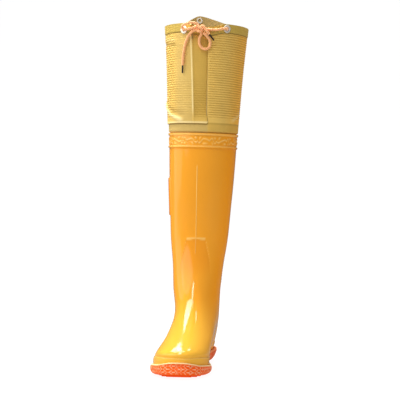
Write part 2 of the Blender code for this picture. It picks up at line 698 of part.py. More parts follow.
def make_cord(name, route, finish):
    """A stretch of the drawcord as a tube with closed ends."""
    points = evenly(cord_route(route), 1.5 * CORD)
    curve = bpy.data.curves.new(name, "CURVE")
    curve.dimensions = "3D"
    curve.bevel_depth = CORD / 2
    curve.bevel_resolution = 2
    curve.use_fill_caps = True
    line = curve.splines.new("POLY")
    line.points.add(len(points) - 1)
    for place, point in zip(line.points, points):
        place.co = (*point, 1.0)
    curve.materials.append(finish)
    made = bpy.data.objects.new(name, curve)
    bpy.context.scene.collection.objects.link(made)
    return points


def make_aglet(name, cord_points, finish):
    """The tip on a cord's end, in line with it."""
    end = cord_points[-1]
    way = end - cord_points[-2]
    way = way / np.linalg.norm(way)
    frame = axis_frame(end + way * GAP, way)
    radius = AGLET / 2
    profile = [(radius * 0.86, 0.0), (radius, AGLET_LENGTH * 0.12), (radius, AGLET_LENGTH * 0.9),
               (radius * 0.7, AGLET_LENGTH)]
    sides = 10
    points = []
    for size, z in profile:
        for j in range(sides):
            angle = 2.0 * math.pi * j / sides
            local = np.array([size * math.cos(angle), size * math.sin(angle), z, 1.0])
            points.append((frame @ local)[:3])
    faces = ring_faces(len(profile), sides, False)
    faces += [tuple(range(sides)), tuple(range(3 * sides, 4 * sides))]
    return add_object(name, points, faces, finish)


def make_knot(finish):
    """The knot's lump, in front of the cord's bar."""
    centre = cord_route([(0.0, 0.6, 1000 * (BAR_OUT + (CORD + KNOT_DEPTH) / 2))])[0]
    mesh = bpy.data.meshes.new("lace_knot")
    work = bmesh.new()
    bmesh.ops.create_uvsphere(work, u_segments=12, v_segments=8, radius=0.5)
    for point in work.verts:
        waist = 1.0 - KNOT_WAIST * math.exp(-(point.co.z / 0.16) ** 2)
        point.co.x = centre[0] + point.co.x * KNOT_WIDTH * waist
        point.co.y = centre[1] + point.co.y * KNOT_DEPTH
        point.co.z = centre[2] + point.co.z * KNOT_HEIGHT
    work.to_mesh(mesh)
    work.free()
    mesh.shade_smooth()
    mesh.materials.append(finish)
    made = bpy.data.objects.new("lace_knot", mesh)
    bpy.context.scene.collection.objects.link(made)
    return made


def main():
    for item in list(bpy.data.objects):
        bpy.data.objects.remove(item, do_unlink=True)
    shell = material("shell pvc", (0.83, 0.42, 0.07), 0.16)
    rubber = material("sole rubber", (0.84, 0.14, 0.03), 0.38)
    cloth = material("cuff cloth", (0.55, 0.40, 0.13), 0.55)
    lining = material("insole cloth", (0.50, 0.42, 0.28), 0.85)
    metal = material("eyelet metal", (0.86, 0.86, 0.87), 0.25, 1.0)
    braid = material("cord braid", (0.88, 0.47, 0.22), 0.7)
    tip = material("aglet plastic", (0.035, 0.022, 0.018), 0.4)
    make_upper(shell)
    make_outsole(rubber)
    make_insole(lining)
    holes = []
    places = (("eyelet_lateral", EYELET_LATERAL_TURN, LATERAL_DROP),
              ("eyelet_medial", EYELET_MEDIAL_TURN, EYELET_DROP), ("eyelet_back", PEAK_TURN, EYELET_DROP))
    for name, turn, drop in places:
        holes.append(make_eyelet(name, turn, drop, metal)[1])
    make_cuff(cloth, holes)
    make_cord("lace_bar", BAR_ROUTE, braid)
    make_knot(braid)
    make_cord("lace_loop_low", LOOP_LOW_ROUTE, braid)
    make_cord("lace_loop_side", LOOP_SIDE_ROUTE, braid)
    make_aglet("aglet_long", make_cord("lace_end_long", END_LONG_ROUTE, braid), tip)
    make_aglet("aglet_short", make_cord("lace_end_short", END_SHORT_ROUTE, braid), tip)


main()
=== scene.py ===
# Looks, camera and lights of the hip wader. The form is worked out from the same tables as the solids.
# Metres, +Z up, toe towards -Y, the leg's inner side towards +X.

import math

import bpy
import numpy as np
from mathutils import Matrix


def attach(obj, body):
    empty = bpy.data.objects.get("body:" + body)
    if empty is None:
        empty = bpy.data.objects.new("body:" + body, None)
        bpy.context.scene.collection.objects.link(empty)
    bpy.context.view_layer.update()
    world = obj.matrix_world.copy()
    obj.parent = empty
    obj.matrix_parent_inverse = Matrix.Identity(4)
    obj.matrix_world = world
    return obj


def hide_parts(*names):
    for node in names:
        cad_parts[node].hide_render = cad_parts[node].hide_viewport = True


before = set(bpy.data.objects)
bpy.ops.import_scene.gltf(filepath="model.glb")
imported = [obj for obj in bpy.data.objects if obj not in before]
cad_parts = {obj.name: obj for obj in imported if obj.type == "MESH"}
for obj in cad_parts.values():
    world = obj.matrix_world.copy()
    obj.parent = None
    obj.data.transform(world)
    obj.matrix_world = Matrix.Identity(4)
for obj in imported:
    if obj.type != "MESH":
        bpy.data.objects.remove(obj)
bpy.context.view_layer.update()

# Foot
SHELL_LENGTH = 0.275
HEEL_BACK = 0.038
BALL_WIDTH = 0.094
INSTEP_HEIGHT = 0.160
FEATHER_SAG = 0.0090
SAG_SKEW = 1.6
SHELL_WALL = 0.0022
RAND_STEP = 0.0011

# Shaft of the boot and the cloth cuff above it
BOOT_TOP = 0.4185
SHAFT_WIDTH = 0.1245
SHAFT_DEPTH = 0.145
CALF_BACK = 0.065
LEAN = 0.036
INSTEP_SHIFT = 0.0045
RING_TILT = 0.028
BAND_HEIGHT = 0.026
LIP_HEIGHT = 0.0034
LIP_STEP = 0.0017

# Raised plate on the outer side
PLATE_MIDDLE = 0.306
PLATE_HEIGHT = 0.064
PLATE_WIDTH = 0.046
PLATE_STEP = 0.0023
PLATE_TURN = -88.0

# Cuff
CUFF_RISE = 0.1945
CUFF_WIDTH = 0.1475
CUFF_DEPTH = 0.174
CUFF_WALL = 0.0013
CUFF_TUCK = 0.012
CUFF_BAND = 0.018
CUFF_SWELL = 0.0010
CUFF_FLARE = 0.0063
CUFF_FRONT_SHARE = 0.38
OVERLAP_STEP = 0.0024
OVERLAP_EDGE = 0.0014
OVERLAP_START = (-180.0, -150.0)
BACK_PEAK = 0.034
PEAK_TURN = -160.0
PEAK_ROUND = 0.1
FRONT_DIP = 0.007
HEM_DEPTH = 0.016
HEM_STEP = 0.0008
HEM_EDGE = 0.0013
PLEAT_DEPTH = 0.0055
PLEAT_RIDGE = 0.0022
PLEAT_LEFT = -10.0
PLEAT_RIGHT = 9.0
PLEAT_FLANK = 26.0
PLEAT_FOLD = 3.0
LEFT_FOLD = (PLEAT_LEFT, PLEAT_LEFT + PLEAT_FOLD)
RIGHT_FOLD = (PLEAT_RIGHT, PLEAT_RIGHT + PLEAT_FOLD)
PLEAT_START = 0.011
PLEAT_FULL = 0.040
PLEAT_GATHER = 0.45
GATHER_START = 0.136

# Sole
SOLE_LEDGE = 0.0038
SOLE_TUCK = 0.0045
HEEL_TAPER = 0.0055
LUG_DEPTH = 0.0034
WAIST_RISE = 0.0045
TOE_SPRING = 0.0058
SPRING_START = 0.78
WAIST_BACK = (0.27, 0.36)
WAIST_FRONT = (0.36, 0.50)
LIP_RISE = 0.0022
WAVE_RISE = 0.0062
WAVE_TURNS = (4.0, 40.0)

# Eyelets and drawcord
EYELET_FLANGE = 0.0072
EYELET_WASHER = 0.0056
EYELET_BORE = 0.0030
EYELET_WALL = 0.0007
EYELET_PLATE = 0.0009
EYELET_DROP = 0.0085
LATERAL_DROP = 0.0120
EYELET_LATERAL_TURN = -22.0
EYELET_MEDIAL_TURN = 36.0
EYELET_SIDES = 48
HOLE_REACH = 0.006
CORD = 0.0046
CORD_STEP = 0.0012
KNOT_DROP = 0.0040
MM = 0.001

# Clearances between pieces
GAP = 0.0003
LIP_GAP = 0.0005
FLANGE_GAP = 0.0006
TUCK_GAP = 0.0005

# Rings of the foot, from the feather edge to the ankle. Front and back give the profile: reach is the
# distance ahead of the heel's back, a share of SHELL_LENGTH, and z a share of INSTEP_HEIGHT. The five
# half widths are shares of half BALL_WIDTH, from the ring's back end to its front end.
# front reach, front z, back reach, back z, heel end, heel, waist, ball, toe end, squareness, sag
FOOT_RINGS = (
    (0.990, 0.138, 0.008, 0.150, 0.89, 0.78, 0.62, 1.03, 1.06, 2.40, 1.00),
    (1.000, 0.212, 0.000, 0.212, 0.93, 0.82, 0.67, 1.06, 1.08, 2.40, 0.90),
    (0.989, 0.284, 0.000, 0.275, 0.93, 0.85, 0.73, 1.03, 1.02, 2.35, 0.60),
    (0.925, 0.352, 0.002, 0.344, 0.91, 0.86, 0.76, 0.95, 0.92, 2.30, 0.25),
    (0.800, 0.436, 0.008, 0.419, 0.89, 0.87, 0.80, 0.87, 0.80, 2.25, 0.00),
    (0.664, 0.537, 0.018, 0.500, 0.88, 0.87, 0.83, 0.81, 0.74, 2.20, 0.00),
    (0.540, 0.662, 0.030, 0.594, 0.87, 0.87, 0.85, 0.79, 0.72, 2.15, 0.00),
    (0.449, 0.812, 0.040, 0.706, 0.88, 0.89, 0.89, 0.85, 0.80, 2.10, 0.00),
)

# Rings of the shaft. Front is the distance ahead of the line through CALF_BACK, a share of
# SHAFT_DEPTH, back the same, z a share of BOOT_TOP, and width a share of SHAFT_WIDTH.
# front, front z, back, back z, width, squareness
SHAFT_RINGS = (
    (0.924, 0.384, 0.266, 0.324, 0.705, 2.10),
    (0.876, 0.467, 0.248, 0.413, 0.755, 2.08),
    (0.869, 0.560, 0.207, 0.520, 0.840, 2.06),
    (0.903, 0.668, 0.138, 0.648, 0.890, 2.06),
    (0.945, 0.775, 0.076, 0.768, 0.938, 2.06),
    (0.979, 0.892, 0.028, 0.892, 0.975, 2.06),
    (1.000, 1.000, 0.000, 1.000, 1.000, 2.06),
)

# Rings of the cuff, from just above the boot's top. z is a share of CUFF_RISE, and width, front and
# back say how far the form has opened from the boot's top to the cuff's rim.
# z, width, front, back
CUFF_RINGS = (
    (0.340, 0.26, 0.31, 0.28),
    (0.670, 0.58, 0.63, 0.61),
    (1.000, 1.00, 1.00, 1.00),
    (1.230, 1.22, 1.15, 1.20),
)

# Sideways swing of the last, to the inner side, along its length: share of SHELL_LENGTH, share of
# BALL_WIDTH.
LAST_SWING = (
    (0.00, 0.020),
    (0.15, 0.005),
    (0.40, -0.060),
    (0.69, -0.045),
    (0.86, -0.015),
    (1.00, 0.025),
)

# Shares of INSTEP_HEIGHT over which the swing gives way to the instep's shift, and that shift ends; and
# the places of a ring's five half widths, as shares of its length
SWING_FADE = (0.12, 0.40)
SHIFT_FADE = (0.5, 0.9)
WIDTH_PLACES = (0.0, 0.2, 0.42, 0.7, 1.0)

# Side of the sole, from its foot up to its ledge: share of the height over the tread and reach beyond
# the feather edge
SOLE_SIDE = (
    (0.00, 0.0008),
    (0.10, 0.0032),
    (0.38, 0.0050),
    (0.75, 0.0054),
    (1.15, SOLE_LEDGE),
)
WIDEST_SHARE = 0.75
SIDE_DROP = 0.0016
LIP_ROUND = (0.0012, 0.0010)
LEDGE_ROUND = (-0.0014, 0.0013)

# Tread bars: the heel's lie a pitch apart on both sides of the origin, and the forefoot's run from a
# share of SHELL_LENGTH to another. The sweep of their chevrons is a share of a bar's half width.
HEEL_BAR_PITCH = 0.0138
HEEL_BARS_EACH_SIDE = 2
FORE_BARS = 9
FORE_FIRST = 0.50
FORE_LAST = 0.935
FORE_SWEEP = 0.16
BAR_WIDTH = 0.0075
BAR_INSET = 0.0070
BAR_ROOT = 0.0015

# Routes of the drawcord in millimetres: across from the knot to the inner side, down from it, and out
# from the cuff's form.
BAR_ROUTE = (
    (-20.0, 0.9, 10.7), (-14.0, 0.5, 10.2), (-9.0, 0.5, 8.2), (-5.0, 0.6, 5.0), (0.0, 0.8, 3.9),
    (7.0, 1.2, 3.9), (12.0, 1.7, 4.3), (17.0, 2.3, 4.9), (23.0, 2.6, 5.5), (31.0, 2.0, 6.8),
    (37.0, 0.7, 8.0),
)
LOOP_LOW_ROUTE = (
    (2.0, 9.0, 9.6), (-0.2, 14.0, 7.8), (-2.3, 20.5, 6.4), (-1.8, 28.0, 5.4), (2.4, 34.6, 4.8),
    (9.0, 36.6, 4.8), (15.0, 32.4, 5.2), (17.0, 25.0, 6.2), (14.4, 17.8, 8.2), (10.0, 12.6, 10.6),
    (6.1, 8.8, 12.6),
)
LOOP_SIDE_ROUTE = (
    (-5.4, -1.9, 13.0), (-10.5, -0.2, 15.2), (-17.0, 1.2, 16.4), (-23.6, 2.0, 17.0), (-29.0, 1.4, 17.8),
    (-31.8, -1.8, 19.8), (-29.4, -5.2, 21.8), (-23.6, -7.2, 22.2), (-16.4, -8.6, 21.4), (-9.2, -8.2, 18.8),
    (-3.2, -5.6, 15.4),
)
END_LONG_ROUTE = (
    (-5.7, 3.1, 12.6), (-10.5, 4.6, 12.6), (-15.5, 7.0, 12.2), (-20.2, 11.8, 11.6), (-24.6, 19.2, 11.1),
    (-28.0, 27.8, 10.5), (-30.4, 37.0, 10.0), (-31.8, 46.0, 9.7), (-32.8, 55.0, 9.6), (-33.2, 64.0, 9.6),
)
END_SHORT_ROUTE = (
    (7.0, -1.3, 12.8), (10.0, 2.7, 13.2), (13.0, 7.2, 12.4), (15.9, 11.0, 11.2),
)

# The knot's wrap, and the two stretches that run through it
KNOT_ROUTE = (
    (-3.4, -5.0, 9.6), (-4.2, -3.4, 12.4), (-1.8, -1.6, 15.4), (1.8, 0.8, 15.8), (4.0, 3.0, 13.2),
    (3.6, 4.6, 10.0), (0.0, 4.8, 8.8), (-3.4, 4.6, 10.4), (-3.8, 5.4, 13.0), (-1.2, 6.2, 14.8),
    (2.8, 6.4, 14.0),
)
KNOT_THROUGH_LONG = ((-2.4, 1.8, 12.2), (0.8, 0.6, 11.8), (0.2, -0.9, 12.0), (-2.4, -1.7, 12.4))
KNOT_THROUGH_SHORT = ((3.8, -3.2, 12.4), (0.6, -1.0, 12.0), (-0.4, 2.8, 11.4), (0.8, 6.2, 10.6))


def smooth_step(low, high, x):
    """0 below low, 1 above high, with level ends."""
    t = np.clip((np.asarray(x, float) - low) / (high - low), 0.0, 1.0)
    return t * t * (3.0 - 2.0 * t)


def falling(low, high, x):
    """1 below low, 0 above high, with level ends."""
    return 1.0 - smooth_step(low, high, x)


def window(start, full, fade, end, x):
    """1 between full and fade, 0 before start and after end, with smooth sides."""
    return smooth_step(start, full, x) * falling(fade, end, x)


def bump(x, half_width):
    """1 at x = 0, falling to 0 at half_width either way."""
    return falling(0.0, half_width, np.abs(x))


def unit(vectors):
    """The vectors at length 1."""
    return vectors / np.linalg.norm(vectors, axis=-1, keepdims=True)


def spans(*parts):
    """Evenly spaced values over stretches, each a start, end and count."""
    return np.concatenate([np.linspace(*part) for part in parts])


def distances(points):
    """How far each point lies from the first one, along the line through them."""
    return np.concatenate([[0.0], np.cumsum(np.linalg.norm(np.diff(points, axis=0), axis=1))])


def spline(knots, values):
    """The natural cubic through values, which has one row for each knot."""
    knots = np.asarray(knots, float)
    values = np.asarray(values, float)
    gaps = np.diff(knots)
    slopes = np.diff(values, axis=0) / gaps[:, None]
    system = np.eye(len(knots))
    sides = np.zeros_like(values)
    for i in range(1, len(knots) - 1):
        system[i, i - 1:i + 2] = gaps[i - 1], 2.0 * (gaps[i - 1] + gaps[i]), gaps[i]
        sides[i] = 6.0 * (slopes[i] - slopes[i - 1])
    bends = np.linalg.solve(system, sides)

    def at(x):
        x = np.clip(np.asarray(x, float), knots[0], knots[-1])
        i = np.clip(np.searchsorted(knots, x, side="right") - 1, 0, len(knots) - 2)
        span = gaps[i][..., None]
        a = (knots[i + 1] - x)[..., None] / span
        b = 1.0 - a
        bend = (a ** 3 - a) * bends[i] + (b ** 3 - b) * bends[i + 1]
        return a * values[i] + b * values[i + 1] + bend * span ** 2 / 6.0

    return at


def ring_rows():
    """All rings in metres: front y, front z, back y, back z, five half widths, squareness, sag."""
    rows = []
    for front, front_z, back, back_z, *halves, square, sag in FOOT_RINGS:
        rows.append([HEEL_BACK - front * SHELL_LENGTH, front_z * INSTEP_HEIGHT,
                     HEEL_BACK - back * SHELL_LENGTH, back_z * INSTEP_HEIGHT,
                     *[half * BALL_WIDTH / 2 for half in halves], square, sag])
    for front, front_z, back, back_z, width, square in SHAFT_RINGS:
        rows.append([CALF_BACK - front * SHAFT_DEPTH, front_z * BOOT_TOP,
                     CALF_BACK - back * SHAFT_DEPTH, back_z * BOOT_TOP,
                     *[width * SHAFT_WIDTH / 2] * 5, square, 0.0])
    front_top, _, back_top, _ = rows[-1][:4]
    opening = CUFF_DEPTH - SHAFT_DEPTH
    behind = 1.0 - CUFF_FRONT_SHARE
    for z, width, front, back in CUFF_RINGS:
        height = BOOT_TOP + z * CUFF_RISE
        half = (SHAFT_WIDTH + width * (CUFF_WIDTH - SHAFT_WIDTH)) / 2
        rows.append([front_top - front * opening * CUFF_FRONT_SHARE, height,
                     back_top + back * opening * behind, height, *[half] * 5, SHAFT_RINGS[-1][-1], 0.0])
    return rows


RINGS = ring_rows()
TOP_RING = len(FOOT_RINGS) + len(SHAFT_RINGS) - 1
ring_at = spline(range(len(RINGS)), RINGS)
share_basis = spline(WIDTH_PLACES, np.eye(5))
swing_at = spline([row[0] for row in LAST_SWING], [[row[1]] for row in LAST_SWING])
FINE_RINGS = np.linspace(0, len(RINGS) - 1, 2000)
FINE_HEIGHTS = ring_at(FINE_RINGS)[:, 1]


def ring_of(height):
    """The ring whose front lies at this height."""
    return np.interp(height, FINE_HEIGHTS, FINE_RINGS)


def form(ring, turn):
    """Points on the boot's smooth outer form. turn is in degrees, from the front to the inner side."""
    ring, turn = np.broadcast_arrays(np.asarray(ring, float), np.radians(np.asarray(turn, float)))
    row = ring_at(ring)
    power = 2.0 / row[..., 9]
    along = np.sign(np.cos(turn)) * np.abs(np.cos(turn)) ** power
    across = np.sign(np.sin(turn)) * np.abs(np.sin(turn)) ** power
    share = (1.0 + along) / 2.0
    y = row[..., 2] + (row[..., 0] - row[..., 2]) * share
    z = row[..., 3] + (row[..., 1] - row[..., 3]) * share
    z = z - row[..., 10] * FEATHER_SAG * np.sin(math.pi * share ** SAG_SKEW) ** 2
    half = (share_basis(share) * row[..., 4:9]).sum(-1)
    swing = swing_at((HEEL_BACK - y) / SHELL_LENGTH)[..., 0] * BALL_WIDTH
    risen = smooth_step(*SWING_FADE, z / INSTEP_HEIGHT)
    swing = swing * (1.0 - risen) + INSTEP_SHIFT * risen * falling(*SHIFT_FADE, z / INSTEP_HEIGHT)
    tilt = RING_TILT * smooth_step(INSTEP_HEIGHT, BOOT_TOP, z) * across * half
    return np.stack([across * half + swing + LEAN * z, y, z - tilt], -1)


def form_normal(ring, turn):
    """Outward unit normals of the form."""
    step = 0.01
    up = form(ring + step, turn) - form(np.maximum(ring - step, 0.0), turn)
    around = form(ring, turn + step) - form(ring, turn - step)
    return unit(np.cross(around, up))


def lifted(ring, turn, out):
    """Points of the form moved out along its normals."""
    return form(ring, turn) + form_normal(ring, turn) * np.asarray(out)[..., None]


def wrapped(turn):
    """The turn brought between -180 and 180 degrees."""
    return (np.asarray(turn, float) + 180.0) % 360.0 - 180.0


# Rings of the upper's steps
RAND_RING = 1.20
STEP_RINGS = 0.07
BAND_RING = float(ring_of(BOOT_TOP - BAND_HEIGHT))
LIP_RINGS = float(TOP_RING - ring_of(BOOT_TOP - LIP_HEIGHT))
EDGE_RINGS = LIP_RINGS * 0.3
PLATE_LOW = float(ring_of(PLATE_MIDDLE - PLATE_HEIGHT / 2))
PLATE_HIGH = float(ring_of(PLATE_MIDDLE + PLATE_HEIGHT / 2))
PLATE_HALF_TURN = math.degrees(PLATE_WIDTH / SHAFT_DEPTH)
PLATE_EDGE_TURN = 2.0


def plate_mask(ring, turn):
    """1 on the raised plate, 0 off it."""
    level = window(PLATE_LOW - EDGE_RINGS, PLATE_LOW, PLATE_HIGH, PLATE_HIGH + EDGE_RINGS, ring)
    off = np.abs(wrapped(turn - PLATE_TURN))
    return level * falling(PLATE_HALF_TURN, PLATE_HALF_TURN + PLATE_EDGE_TURN, off)


def upper_relief(ring, turn):
    """How far the upper's wall stands out from the form: rand, lips of the top band, side plate."""
    rand = falling(RAND_RING, RAND_RING + STEP_RINGS, ring)
    lip_end = BAND_RING + LIP_RINGS
    low_lip = window(BAND_RING - EDGE_RINGS, BAND_RING, lip_end, lip_end + EDGE_RINGS, ring)
    top_lip = smooth_step(TOP_RING - LIP_RINGS - EDGE_RINGS, TOP_RING - LIP_RINGS, ring)
    return RAND_STEP * rand + LIP_STEP * (low_lip + top_lip) + PLATE_STEP * plate_mask(ring, turn)


def rim_height(turn):
    """Height of the cuff's rim: a tent's peak at the back, and a dip between the front eyelets."""
    across = np.sin(np.radians(turn))
    top = math.sin(math.radians(PEAK_TURN))
    off = np.where(across < top, (top - across) / (top + 1.0), (across - top) / (1.0 - top))
    behind = np.cos(np.radians(turn)) < 0.0
    peak = BACK_PEAK * behind * (1.0 - np.sqrt(off ** 2 + PEAK_ROUND ** 2)) / (1.0 - PEAK_ROUND)
    peak = np.maximum(peak, 0.0)
    middle = (EYELET_LATERAL_TURN + EYELET_MEDIAL_TURN) / 2
    reach = (EYELET_MEDIAL_TURN - EYELET_LATERAL_TURN) / 2
    near = np.clip(np.abs(wrapped(turn - middle)) / reach, 0.0, 1.0)
    return BOOT_TOP + CUFF_RISE + peak - FRONT_DIP * (1.0 - near ** 2) ** 2


def pleat_growth(rise):
    """How far the pleat has opened at a rise above the boot's top, from 0 to 1."""
    return smooth_step(PLEAT_START, PLEAT_FULL, rise)


def pleat_strip(turn):
    """1 on the strip that the pleat sets back, 0 beside it."""
    return window(*LEFT_FOLD, *RIGHT_FOLD, turn)


def pleat(height, turn):
    """The cuff's front pleat: a ridge at its outer edge, then a strip set back as far as its inner one."""
    rise = height - BOOT_TOP
    gather = 1.0 + PLEAT_GATHER * smooth_step(GATHER_START, CUFF_RISE, rise)
    turn = wrapped(turn)
    ridge = window(PLEAT_LEFT - PLEAT_FLANK, PLEAT_LEFT, *LEFT_FOLD, turn)
    return pleat_growth(rise) * (PLEAT_RIDGE * ridge - PLEAT_DEPTH * gather * pleat_strip(turn))


def hem_edge(turn):
    """Height of the hem's lower edge."""
    return rim_height(turn) - HEM_DEPTH


def hem_relief(height, turn):
    """How far the doubled hem stands out from the cloth."""
    hem = hem_edge(turn)
    return HEM_STEP * smooth_step(hem, hem + HEM_EDGE, height)


def cuff_relief(height, turn):
    """How far the cuff's outer face stands out from the form at this height."""
    tucked = -(SHELL_WALL + TUCK_GAP)
    out = smooth_step(BOOT_TOP, BOOT_TOP + CUFF_FLARE, height)
    relief = tucked + (CUFF_SWELL - tucked) * out
    overlap = smooth_step(BOOT_TOP + CUFF_BAND, BOOT_TOP + CUFF_BAND + OVERLAP_EDGE, height)
    turn = wrapped(turn)
    relief = relief + OVERLAP_STEP * overlap * window(*OVERLAP_START, *RIGHT_FOLD, turn)
    return relief + hem_relief(height, turn) + pleat(height, turn)


def cuff_outer(height, turn):
    return lifted(ring_of(height), turn, cuff_relief(height, turn))


def cuff_inner(height, turn):
    """The inner face, one wall inside the outer face along its own normal."""
    rise, aside = 0.002, 1.0
    high = cuff_outer(height + rise, turn) - cuff_outer(height - rise, turn)
    wide = cuff_outer(height, turn + aside) - cuff_outer(height, turn - aside)
    wall = CUFF_WALL + hem_relief(height, turn)
    return cuff_outer(height, turn) - unit(np.cross(wide, high)) * wall[..., None]


def ring_faces(rings, columns, closed):
    """Quads between neighbouring rings of points, and from the last ring to the first when closed."""
    faces = []
    for i in range(rings if closed else rings - 1):
        low, high = i * columns, (i + 1) % rings * columns
        ends = [(j, (j + 1) % columns) for j in range(columns)]
        faces += [(low + j, low + k, high + k, high + j) for j, k in ends]
    return faces


def tread_height(y):
    """Height of the tread line: flat heel, raised waist, flat forefoot, toe spring."""
    share = (HEEL_BACK - y) / SHELL_LENGTH
    waist = window(*WAIST_BACK, *WAIST_FRONT, share)
    spring = np.clip((share - SPRING_START) / (1.0 - SPRING_START), 0.0, 1.0)
    return WAIST_RISE * waist + TOE_SPRING * spring ** 2


def outward(turns):
    """Level outward directions round the feather edge."""
    along = form(0.0, turns + 0.5) - form(0.0, turns - 0.5)
    return unit(np.stack([along[:, 1], -along[:, 0], np.zeros(len(turns))], -1))


def sole_lip(turn):
    """How high the sole's lip stands on the upper: low all round, with a wave at the toe."""
    return LIP_RISE + WAVE_RISE * falling(*WAVE_TURNS, np.abs(wrapped(turn)))


def sole_sides(y):
    """The feather edge's inner and outer x at this y."""
    fine = np.linspace(1.0, 179.0, 400)
    edges = form(0.0, fine), form(0.0, -fine)
    return [float(np.interp(y, edge[:, 1], edge[:, 0])) for edge in edges]


def eyelet_place(turn, drop=EYELET_DROP):
    """The eyelet's centre on the hem's outer face, its three axes as columns, and the hem's thickness."""
    turn = np.array([turn])
    height = rim_height(turn) - drop
    face = cuff_outer(height, turn)[0]
    back = cuff_inner(height, turn)[0]
    wall = float(np.linalg.norm(face - back))
    normal = (face - back) / wall
    side = unit(np.cross([0.0, 0.0, 1.0], normal))
    return face, np.stack([side, np.cross(normal, side), normal], 1), wall


def cord_route(route):
    """A route's points in metres, out from the cuff's form at the knot's place on its front."""
    knot_height = float(rim_height(0.0)) - KNOT_DROP
    centre = form(ring_of(knot_height), np.array([0.0]))[0]
    turns = np.linspace(-60.0, 60.0, 241)
    points = []
    for across, down, out in route:
        x = centre[0] + across * MM
        z = knot_height - down * MM
        line = form(ring_of(z), turns)
        points.append((x, np.interp(x, line[:, 0], line[:, 1]) - out * MM, z))
    return np.array(points)


# Fine relief that the solids leave out, in metres and degrees of turn. A range says where a form
# starts, is full, fades and ends.
RIB_PITCH = 0.0041
RIB_HEIGHT = 0.00110
SMOOTH_START = (-50.0, -34.0)
STRIP_LIFT = (0.0062, 0.0006)
STITCH_DEPTH = 0.0008
STITCH_RISE = 0.0004
BAND_TILES = 22
ORNAMENT_HEIGHT = 0.00110
RIDGE_RANGE = (0.199, 0.205, 0.358, 0.362)
RIDGE_TURN = 0.55
RIDGE_HEIGHT = 0.00070
SHIN_TOP = 0.2285
SHIN_STEP = 0.00060
SHIN_EDGE = 0.0012
SHIN_ROUND = 15.0
SHIN_DOWN = (0.0, 0.004, 0.012, 0.038, 0.066)
SHIN_TURNS = (17.0, 20.5, 22.5, 33.0, 39.0)
SHIN_TURN_EDGE = 0.7
SHIN_FADE = (0.040, 0.075)
ANKLE_TURN = 84.0
ANKLE_LOW = 0.137
ANKLE_CURVE = 0.00006
ANKLE_HALF_WIDTH = 0.0016
ANKLE_FADE = (14.0, 20.0)
ANKLE_HEIGHT = 0.0004
TOE_RING = 1.62
TOE_HALF_WIDTHS = (0.36, 1.45)
TOE_FADE = (35.0, 75.0)
TOE_FULL = 0.0021

# Lines over the shin panel: rise above its top, half width, turns of their fade, and height
LIP_TURNS = (17.0, 20.0)
SHIN_LINES = (
    (0.0012, 0.0012, LIP_TURNS, 0.00045),
    (0.0062, 0.0011, (13.0, 17.0), 0.00025),
)

# Lean of the pleat's edges and of the overlap's lower edge, and the slant of the pleat's two edges
FOLD_LEAN = 2.6
FOLD_LEAN_END = PLEAT_RIGHT + 14.0
RIDGE_LEAN = 0.6
RIDGE_LEAN_START = PLEAT_LEFT - 12.0
LAP_DROP = 0.0024
LAP_END = 0.012
SLANT_LOW = 3.6
SLANT_HIGH = -3.4
SLANT_RANGE = (-34.0, PLEAT_LEFT, PLEAT_LEFT, 4.0)
FOLD_SLANT = 4.6
FOLD_SLANT_RANGE = (-6.0, *RIGHT_FOLD, 40.0)

# Leaf relief of the sole's side: pitches of its rows and leaves, the rows' sway as a share of their
# pitch, its wave length, and the length and size of the wave that varies it
LEAF_ROW = 0.0052
LEAF_LENGTH = 0.0094
LEAF_SWAY = 0.54
SWAY_LENGTH = 0.0145
DRIFT_LENGTH = 0.053
DRIFT = 1.4
LEAF_HEIGHT = 0.0009

# Colour zones: the foot's painted light by height and turn, the painted shade of the inner side on shell
# and cloth, the cloth's lower band with painted light on its left side, and the y over which the sole turns
# darker with painted shade
LIT_FOOT_FADE = (0.060, 0.135)
LIT_FOOT_TURNS = (20.0, 80.0)
INNER_SHADE_TURNS = (28.0, 75.0, 120.0, 160.0)
AMBER_SHADE_TURNS = (35.0, 85.0, 120.0, 165.0)
LIT_BAND_TURNS = (-150.0, -100.0)
REAR_SHADE_RANGE = (-0.12, -0.02)

# Colours, as linear light
SHELL = (0.90, 0.36, 0.024)
# Painted highlight on the vinyl's raised edges, lips, ornament and above the rand
SHELL_HIGHLIGHT = (1.0, 0.62, 0.16)
# Deeper vinyl of the shin panel and the side plate, and painted shade under the band's lower lip
SHELL_DEEP = (0.80, 0.24, 0.006)
# Painted light: the foot yellower and brighter
SHELL_FOOT_LIGHT = (0.93, 0.48, 0.045)
# Painted shade: the vinyl's deeper amber on the inner side
SHELL_INNER_SHADE = (1.0, 0.345, 0.004)
SHELL_INSIDE = (0.80, 0.33, 0.04)
CLOTH = (0.79, 0.51, 0.120)
# Painted shade: the cloth's deeper amber on the inner side
CLOTH_INNER_SHADE = (0.90, 0.43, 0.026)
CLOTH_PALE = (0.52, 0.365, 0.118)
CLOTH_OLIVE = (0.52, 0.37, 0.065)
# Painted shade of the cloth: pleat strip, rib grooves, the lower band's right side
CLOTH_DEEP_SHADE = (0.52, 0.305, 0.040)
# Painted highlight on the cloth's ridges, lip and crease ridges
CLOTH_HIGHLIGHT = (0.97, 0.80, 0.40)
CLOTH_SHADE = (0.16, 0.090, 0.016)
CLOTH_INSIDE = (0.42, 0.29, 0.10)
SOLE = (1.0, 0.112, 0.003)
# Painted shade: the sole darker towards the heel
SOLE_REAR_SHADE = (0.80, 0.080, 0.003)
# Painted highlight on the sole's leaf ridges
SOLE_LEAF_HIGHLIGHT = (1.0, 0.72, 0.42)
# Painted highlight along the sole lip's crest
SOLE_CREST_HIGHLIGHT = (1.0, 0.74, 0.36)
LINING = (0.45, 0.36, 0.22)
METAL = (0.94, 0.87, 0.75)
BRAID = (0.90, 0.42, 0.17)
TIP = (0.030, 0.018, 0.014)
STAGE_GREY = (0.09, 0.09, 0.09)

